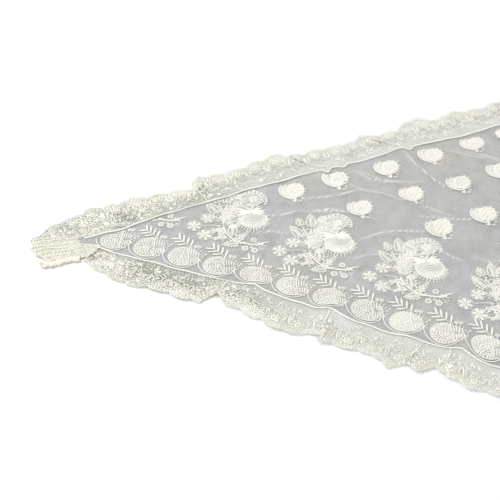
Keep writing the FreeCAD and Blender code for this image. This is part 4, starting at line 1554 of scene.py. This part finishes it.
def make_garland(right, name):
    line = smooth([(-33, 31), (-29, 21), (-21, 12), (-9, 6.5), (3, 4.5), (14, 6), (24, 13), (30, 23),
                   (32.5, 31)], 3)
    ring = joined([strand(line, 2.0, 1.2, sides=5, lift=0.2), put(DOT, (32.5, 32), 0, (4.2, 4.2), 1.2)])
    rings = [clipped(in_side_frame(ring, along, 0), -2.5) for along in BASKETS]
    obj = make_piece(f"garland_rings_{name}", lay_on_field(joined(rings), right), [CORD])
    give(obj, f"{name}_half", f"garland_{name}")


make_seam_cords()
for right, name in HALVES:
    make_garland(right, name)

# %% [markdown]
# The motifs of the field go on last. The two halves mirror each other, so a motif is placed on the left half
# and laid on the right one with its x turned round. The neck seam cuts the bouquet nearest each tip short:
# of that one, only the branch shows.

# %% Motifs of the field
BOUQUETS, BOUQUET_START, BOUQUET_PITCH, BOUQUET_INSET = 6, 63, 161, 130  # in the left side's frame
SPRIG_ROWS, SPRIG_COLUMNS, SPRIG_PITCH = 8, 9, 94.5
SPRIG_TOP = -36  # the first row's distance to the neck seam
SPRIG_CLEAR = 250  # no sprig is nearer to the side seam, so the bouquets have room
SPRIG_TURN = -22.6
SPRIG_SHIFTS = {  # row and column of a sprig, and how far creases have pulled it aside
    (0, 4): (0, 1), (0, 3): (-6, 0), (0, 2): (4, -5), (0, 1): (7, -3), (1, 3): (-2, 7), (1, 2): (9, 5),
    (1, 1): (11, -2), (2, 2): (9, 2),
}
SHIFTED = (6, 1)  # all other sprigs


def make_motif(kind, name, right, parts, *nodes):
    """A piece of one half of the field, from its motifs."""
    laid = lay_on_field(joined(parts), right)
    obj = make_piece(f"{kind}_{name}", laid, [YARN, FILLING, THIN_FILLING])
    give(obj, f"{name}_half", *(f"{node}_{name}" for node in nodes))


def bouquet_parts():
    """The row of bouquets; the first has only its branch."""
    parts = []
    for k in range(BOUQUETS):
        joint = BOUQUET_START + BOUQUET_PITCH * k
        if k:
            parts.append(in_side_frame(BOUQUET, joint, BOUQUET_INSET))
        parts.append(in_side_frame(BRANCH, joint, BOUQUET_INSET))
    return [clipped(joined(parts))]


def point_posy():
    """A blossom and leaves beside the centre line, over the back point."""
    x, y = -16.0, -HALF + 180
    flower = blossom((0, 0), 12)
    return [put(flower, (x, y)), put(broad_leaf((0, 0), (-19, 38), 13), (x + 11, y - 54))]


def sprig_parts():
    """Rows of sprigs; some have been pulled aside by the creases."""
    parts = []
    for row in range(SPRIG_ROWS):
        for column in range(SPRIG_COLUMNS):
            aside = SPRIG_SHIFTS.get((row, column), SHIFTED)
            x = -(column + 0.5) * SPRIG_PITCH + aside[0]
            y = SPRIG_TOP - row * SPRIG_PITCH + aside[1]
            if (x + HALF + y) * ROOT_HALF > SPRIG_CLEAR:
                parts.append(put(SPRIG, (x, y), SPRIG_TURN + 3 * hand.uniform(-1, 1), (vary(0.04),) * 2))
    return parts


for right, name in HALVES:
    hand = np.random.default_rng(11)  # so both halves are worked alike
    baskets = [clipped(in_side_frame(basket(), along + 5, 32.0, UPRIGHT)) for along in BASKETS]
    make_motif("basket_doilies", name, right, baskets, "baskets")
    ferns = [clipped(in_side_frame(fern(), along - 2, 30.0, UPRIGHT)) for along in BASKETS]
    make_motif("fern_crests", name, right, ferns, "basket_ferns")
    make_motif("bouquets", name, right, bouquet_parts() + point_posy(), "bouquet_branches", "bouquet_leaves",
               "bouquet_blooms", "bouquet_roses", "bouquet_blossoms", "bouquet_buds")
    make_motif("sprigs", name, right, sprig_parts(), "sprig_roses", "sprig_calyxes")

# %% [markdown]
# At each sharp corner the side edging is gathered into lengthwise pleats and folded in under the end of the
# neck edging, with a few stitches. The gathered end is a small sheet. The course of each pleat is listed, and
# the sheet rises along it, so the pleats run together unevenly as gathers do. Along the lower side the lace
# is rolled over and shows its pinker back.

# %% The gathered tip
PLEAT_LINES = [  # the crest of each pleat, from the field's corner
    [(-70, 22), (-52, 19), (-30, 12), (-10, 5), (8, -2)],
    [(-74, 13), (-56, 12), (-36, 7), (-16, 3), (4, -6)],
    [(-75, 4), (-58, 2), (-40, -4), (-22, -7), (-4, -13)],
    [(-71, -6), (-54, -7), (-38, -13), (-20, -17), (-2, -21), (16, -26), (33, -33)],
    [(-65, -16), (-50, -18), (-34, -23), (-16, -25), (2, -27), (20, -30), (36, -36)],
    [(-58, -27), (-44, -29), (-28, -32), (-12, -33), (4, -36)],
    [(-56, -37), (-42, -37), (-26, -39), (-8, -42)],
]


def tip_place(u, v):
    """A place of the gathered end, from its blunt end (u = 0) and its upper side (v = 0)."""
    end_x = np.interp(v, [0, 0.3, 0.55, 0.75, 1], [-72, -76, -74, -66, -57]) + 1.2 * np.sin(19 * v)
    end_y = 20 - 62 * v
    knots = [0, 0.15, 0.35, 0.5, 0.65, 0.8, 1]
    near_x = np.interp(v, knots, [16, 5, 4, 22, 38, 28, 8]) + 1.5 * np.sin(31 * v)
    near_y = np.interp(v, knots, [0, -5, -14, -27, -36, -42, -54])
    return end_x + (near_x - end_x) * u, end_y + (near_y - end_y) * u


def pleat_height(x, y):
    """The sheet's height: a soft crest along every pleat."""
    crest = np.zeros(np.shape(x))
    y = y + 1.3 * np.sin(x / 9 + y / 7) + 0.8 * np.sin(x / 4.3 - y / 5)
    for line in PLEAT_LINES:
        away, share = course(np.asarray(x), np.asarray(y), smooth(line, 3))
        tall = 0.65 + 0.35 * np.sin(3 * share + 2 * line[0][1])
        crest = np.maximum(crest, tall * np.exp(-(away / (2.0 + 0.9 * tall)) ** 2))
    ease = 1 - 0.6 * np.clip((x - 4) / 26, 0, 1)
    return RESTING + 1.9 + ease * (1.7 * crest + 0.5 * np.sin(x / 3.1 + y / 5) * np.sin(y / 2.3 - x / 9))


def for_side(p, right):
    """A patch drawn from the left corner, put on its side of the shawl with its own flat places."""
    flat = p["co"][:, :2].copy()
    moved = {**p, "co": p["co"] - (HALF, 0, 0)}
    if right:
        moved = turned_over({**moved, "co": moved["co"] * (-1, 1, 1)})
    return {**moved, "flat": flat}


def tip_sheet(right):
    """The gathered end, as a grid whose rows follow the pleats."""
    flat = grid_patch(46, 60)
    u, v = flat["co"][:, 0], flat["co"][:, 1]
    x, y = tip_place(u, v)
    made = for_side(turned_over({**flat, "co": np.stack([x, y, pleat_height(x, y)], 1)}), right)
    return {**made, "flat": np.stack([90 * u, 130 * v], 1)}


def tip_threads(right):
    """Bright threads along the pleats' crests, and the stitches at the net's end."""
    parts = []
    for line in PLEAT_LINES[:-1]:
        crest = smooth(line, 5)
        thread = strand(crest, 1.7, 1.0, sides=5)
        eased = np.clip((crest[:, 0] - 8) / 14, 0, 1)
        height = (1 - eased) * pleat_height(*crest.T) + eased * 2.6
        thread["co"][:, 2] += np.repeat(height, 5) - 0.3
        parts.append(thread)
    for k in range(5):
        y = -(k + 0.5) * GATHER_DROP / 5
        parts.append(strand([(GATHER_X - 5, y + 1), (GATHER_X + 5, y - 1)], 1.4, 1.0, lift=4.6))
    return for_side(joined(parts), right)


ROLL_SIDES = 10


def rolled_edge(right):
    """The lower side of the gathered end, rolled over, with a torn-looking end."""
    line = smooth([(-66, -42), (-58, -45), (-48, -47), (-36, -47), (-22, -47), (-12, -50), (-6, -52)], 6)
    roll = strand(line, 13, 3.6, sides=ROLL_SIDES, lift=0.3)
    ring, spoke = np.divmod(np.arange(len(roll["co"])), ROLL_SIDES)
    bulge = (1 + 0.16 * np.sin(ring * 0.9) + 0.12 * np.sin(ring * 2.3 + spoke)
             + 0.25 * np.exp(-(ring / 5) ** 2))
    centre = np.repeat(line, ROLL_SIDES, 0)
    roll["co"][:, :2] = centre + (roll["co"][:, :2] - centre) * bulge[:, None]
    roll["co"][:, 2] *= 1 + 0.12 * np.sin(ring * 1.7 + 2 * spoke)
    parts = [roll]
    for k in range(1, len(line) - 1):
        at = line[k] + (0, -6.2 * (1 + 0.16 * math.sin(0.9 * k)))
        parts.append(put(RING, at, 0, (4.0 * vary(0.3), 3.6), 1.0, 0.8))
    parts += [bar((-65, -45 + 3 * k), (-73, -48 + 4.5 * k), 4.5, 0.6) for k in range(4)]
    return for_side(joined(parts), right)


for right, name in HALVES:
    pleats = make_piece(f"gathered_end_{name}", tip_sheet(right), [GATHERED])
    give(pleats, f"{name}_half", f"tip_pleats_{name}")
    threads = make_piece(f"gather_threads_{name}", tip_threads(right), [CORD])
    give(threads, f"{name}_half", f"tip_stitches_{name}")
    roll = make_piece(f"rolled_end_{name}", rolled_edge(right), [BLUSH])
    give(roll, f"{name}_half")

# %% [markdown]
# The shawl lies on a plain pale floor under a wide soft sky, with one large light from the upper left that
# lets the creases show. The camera looks down at about 45 degrees at the left corner of the shawl, so that
# the neck edge rises to the right. It stands 1.5 metres away with a long lens, which keeps the far end large.

# %% Floor, lights and camera
AZIMUTH, ELEVATION = math.radians(-22.63), math.radians(44.5)
DISTANCE, LENS = 1.546, 64.8
AIM = (269.5, -142.1)  # the place in the middle of the picture, from the field's left corner


def make_floor():
    bpy.ops.object.select_all(action="DESELECT")
    bpy.ops.mesh.primitive_plane_add(size=12, location=(0, 0, -0.0004))
    floor = bpy.context.object
    floor.name = "floor"
    mat = bpy.data.materials.new("pale floor")
    mat.use_nodes = True
    shader = mat.node_tree.nodes["Principled BSDF"]
    shader.inputs["Base Color"].default_value = (0.9, 0.9, 0.9, 1)
    shader.inputs["Roughness"].default_value = 0.9
    floor.data.materials.append(mat)


def make_lights():
    world = bpy.data.worlds.new("soft sky")
    world.use_nodes = True
    world.node_tree.nodes["Background"].inputs[0].default_value = (1.0, 1.0, 1.0, 1)
    world.node_tree.nodes["Background"].inputs[1].default_value = 0.85
    bpy.context.scene.world = world
    lamp = bpy.data.lights.new("window", "AREA")
    lamp.shape = "DISK"
    lamp.size = 3.2
    lamp.energy = 96
    obj = bpy.data.objects.new("window", lamp)
    bpy.context.collection.objects.link(obj)
    obj.location = (-2.6, 2.2, 2.6)
    aim = Vector((-0.4, 0.1, 0)) - obj.location
    obj.rotation_euler = aim.to_track_quat("-Z", "Y").to_euler()


def make_camera():
    target = Vector((AIM[0] - HALF, NECK_Y + AIM[1], 0)) * MM
    back = Vector((math.sin(AZIMUTH) * math.cos(ELEVATION), -math.cos(AZIMUTH) * math.cos(ELEVATION),
                   math.sin(ELEVATION)))
    data = bpy.data.cameras.new("camera")
    data.sensor_width = 36
    data.lens = LENS
    camera = bpy.data.objects.new("camera", data)
    bpy.context.collection.objects.link(camera)
    camera.location = target + back * DISTANCE
    camera.rotation_euler = (-back).to_track_quat("-Z", "Y").to_euler()
    bpy.context.scene.camera = camera
    bpy.context.scene.view_settings.view_transform = "Standard"


make_floor()
make_lights()
make_camera()

# %% [markdown]
# Fabric may stand a little proud of the solid model's box, but not by much.

# %% Count the triangles
print("triangles in all:", sum(triangles_of(obj) for obj in made_pieces))
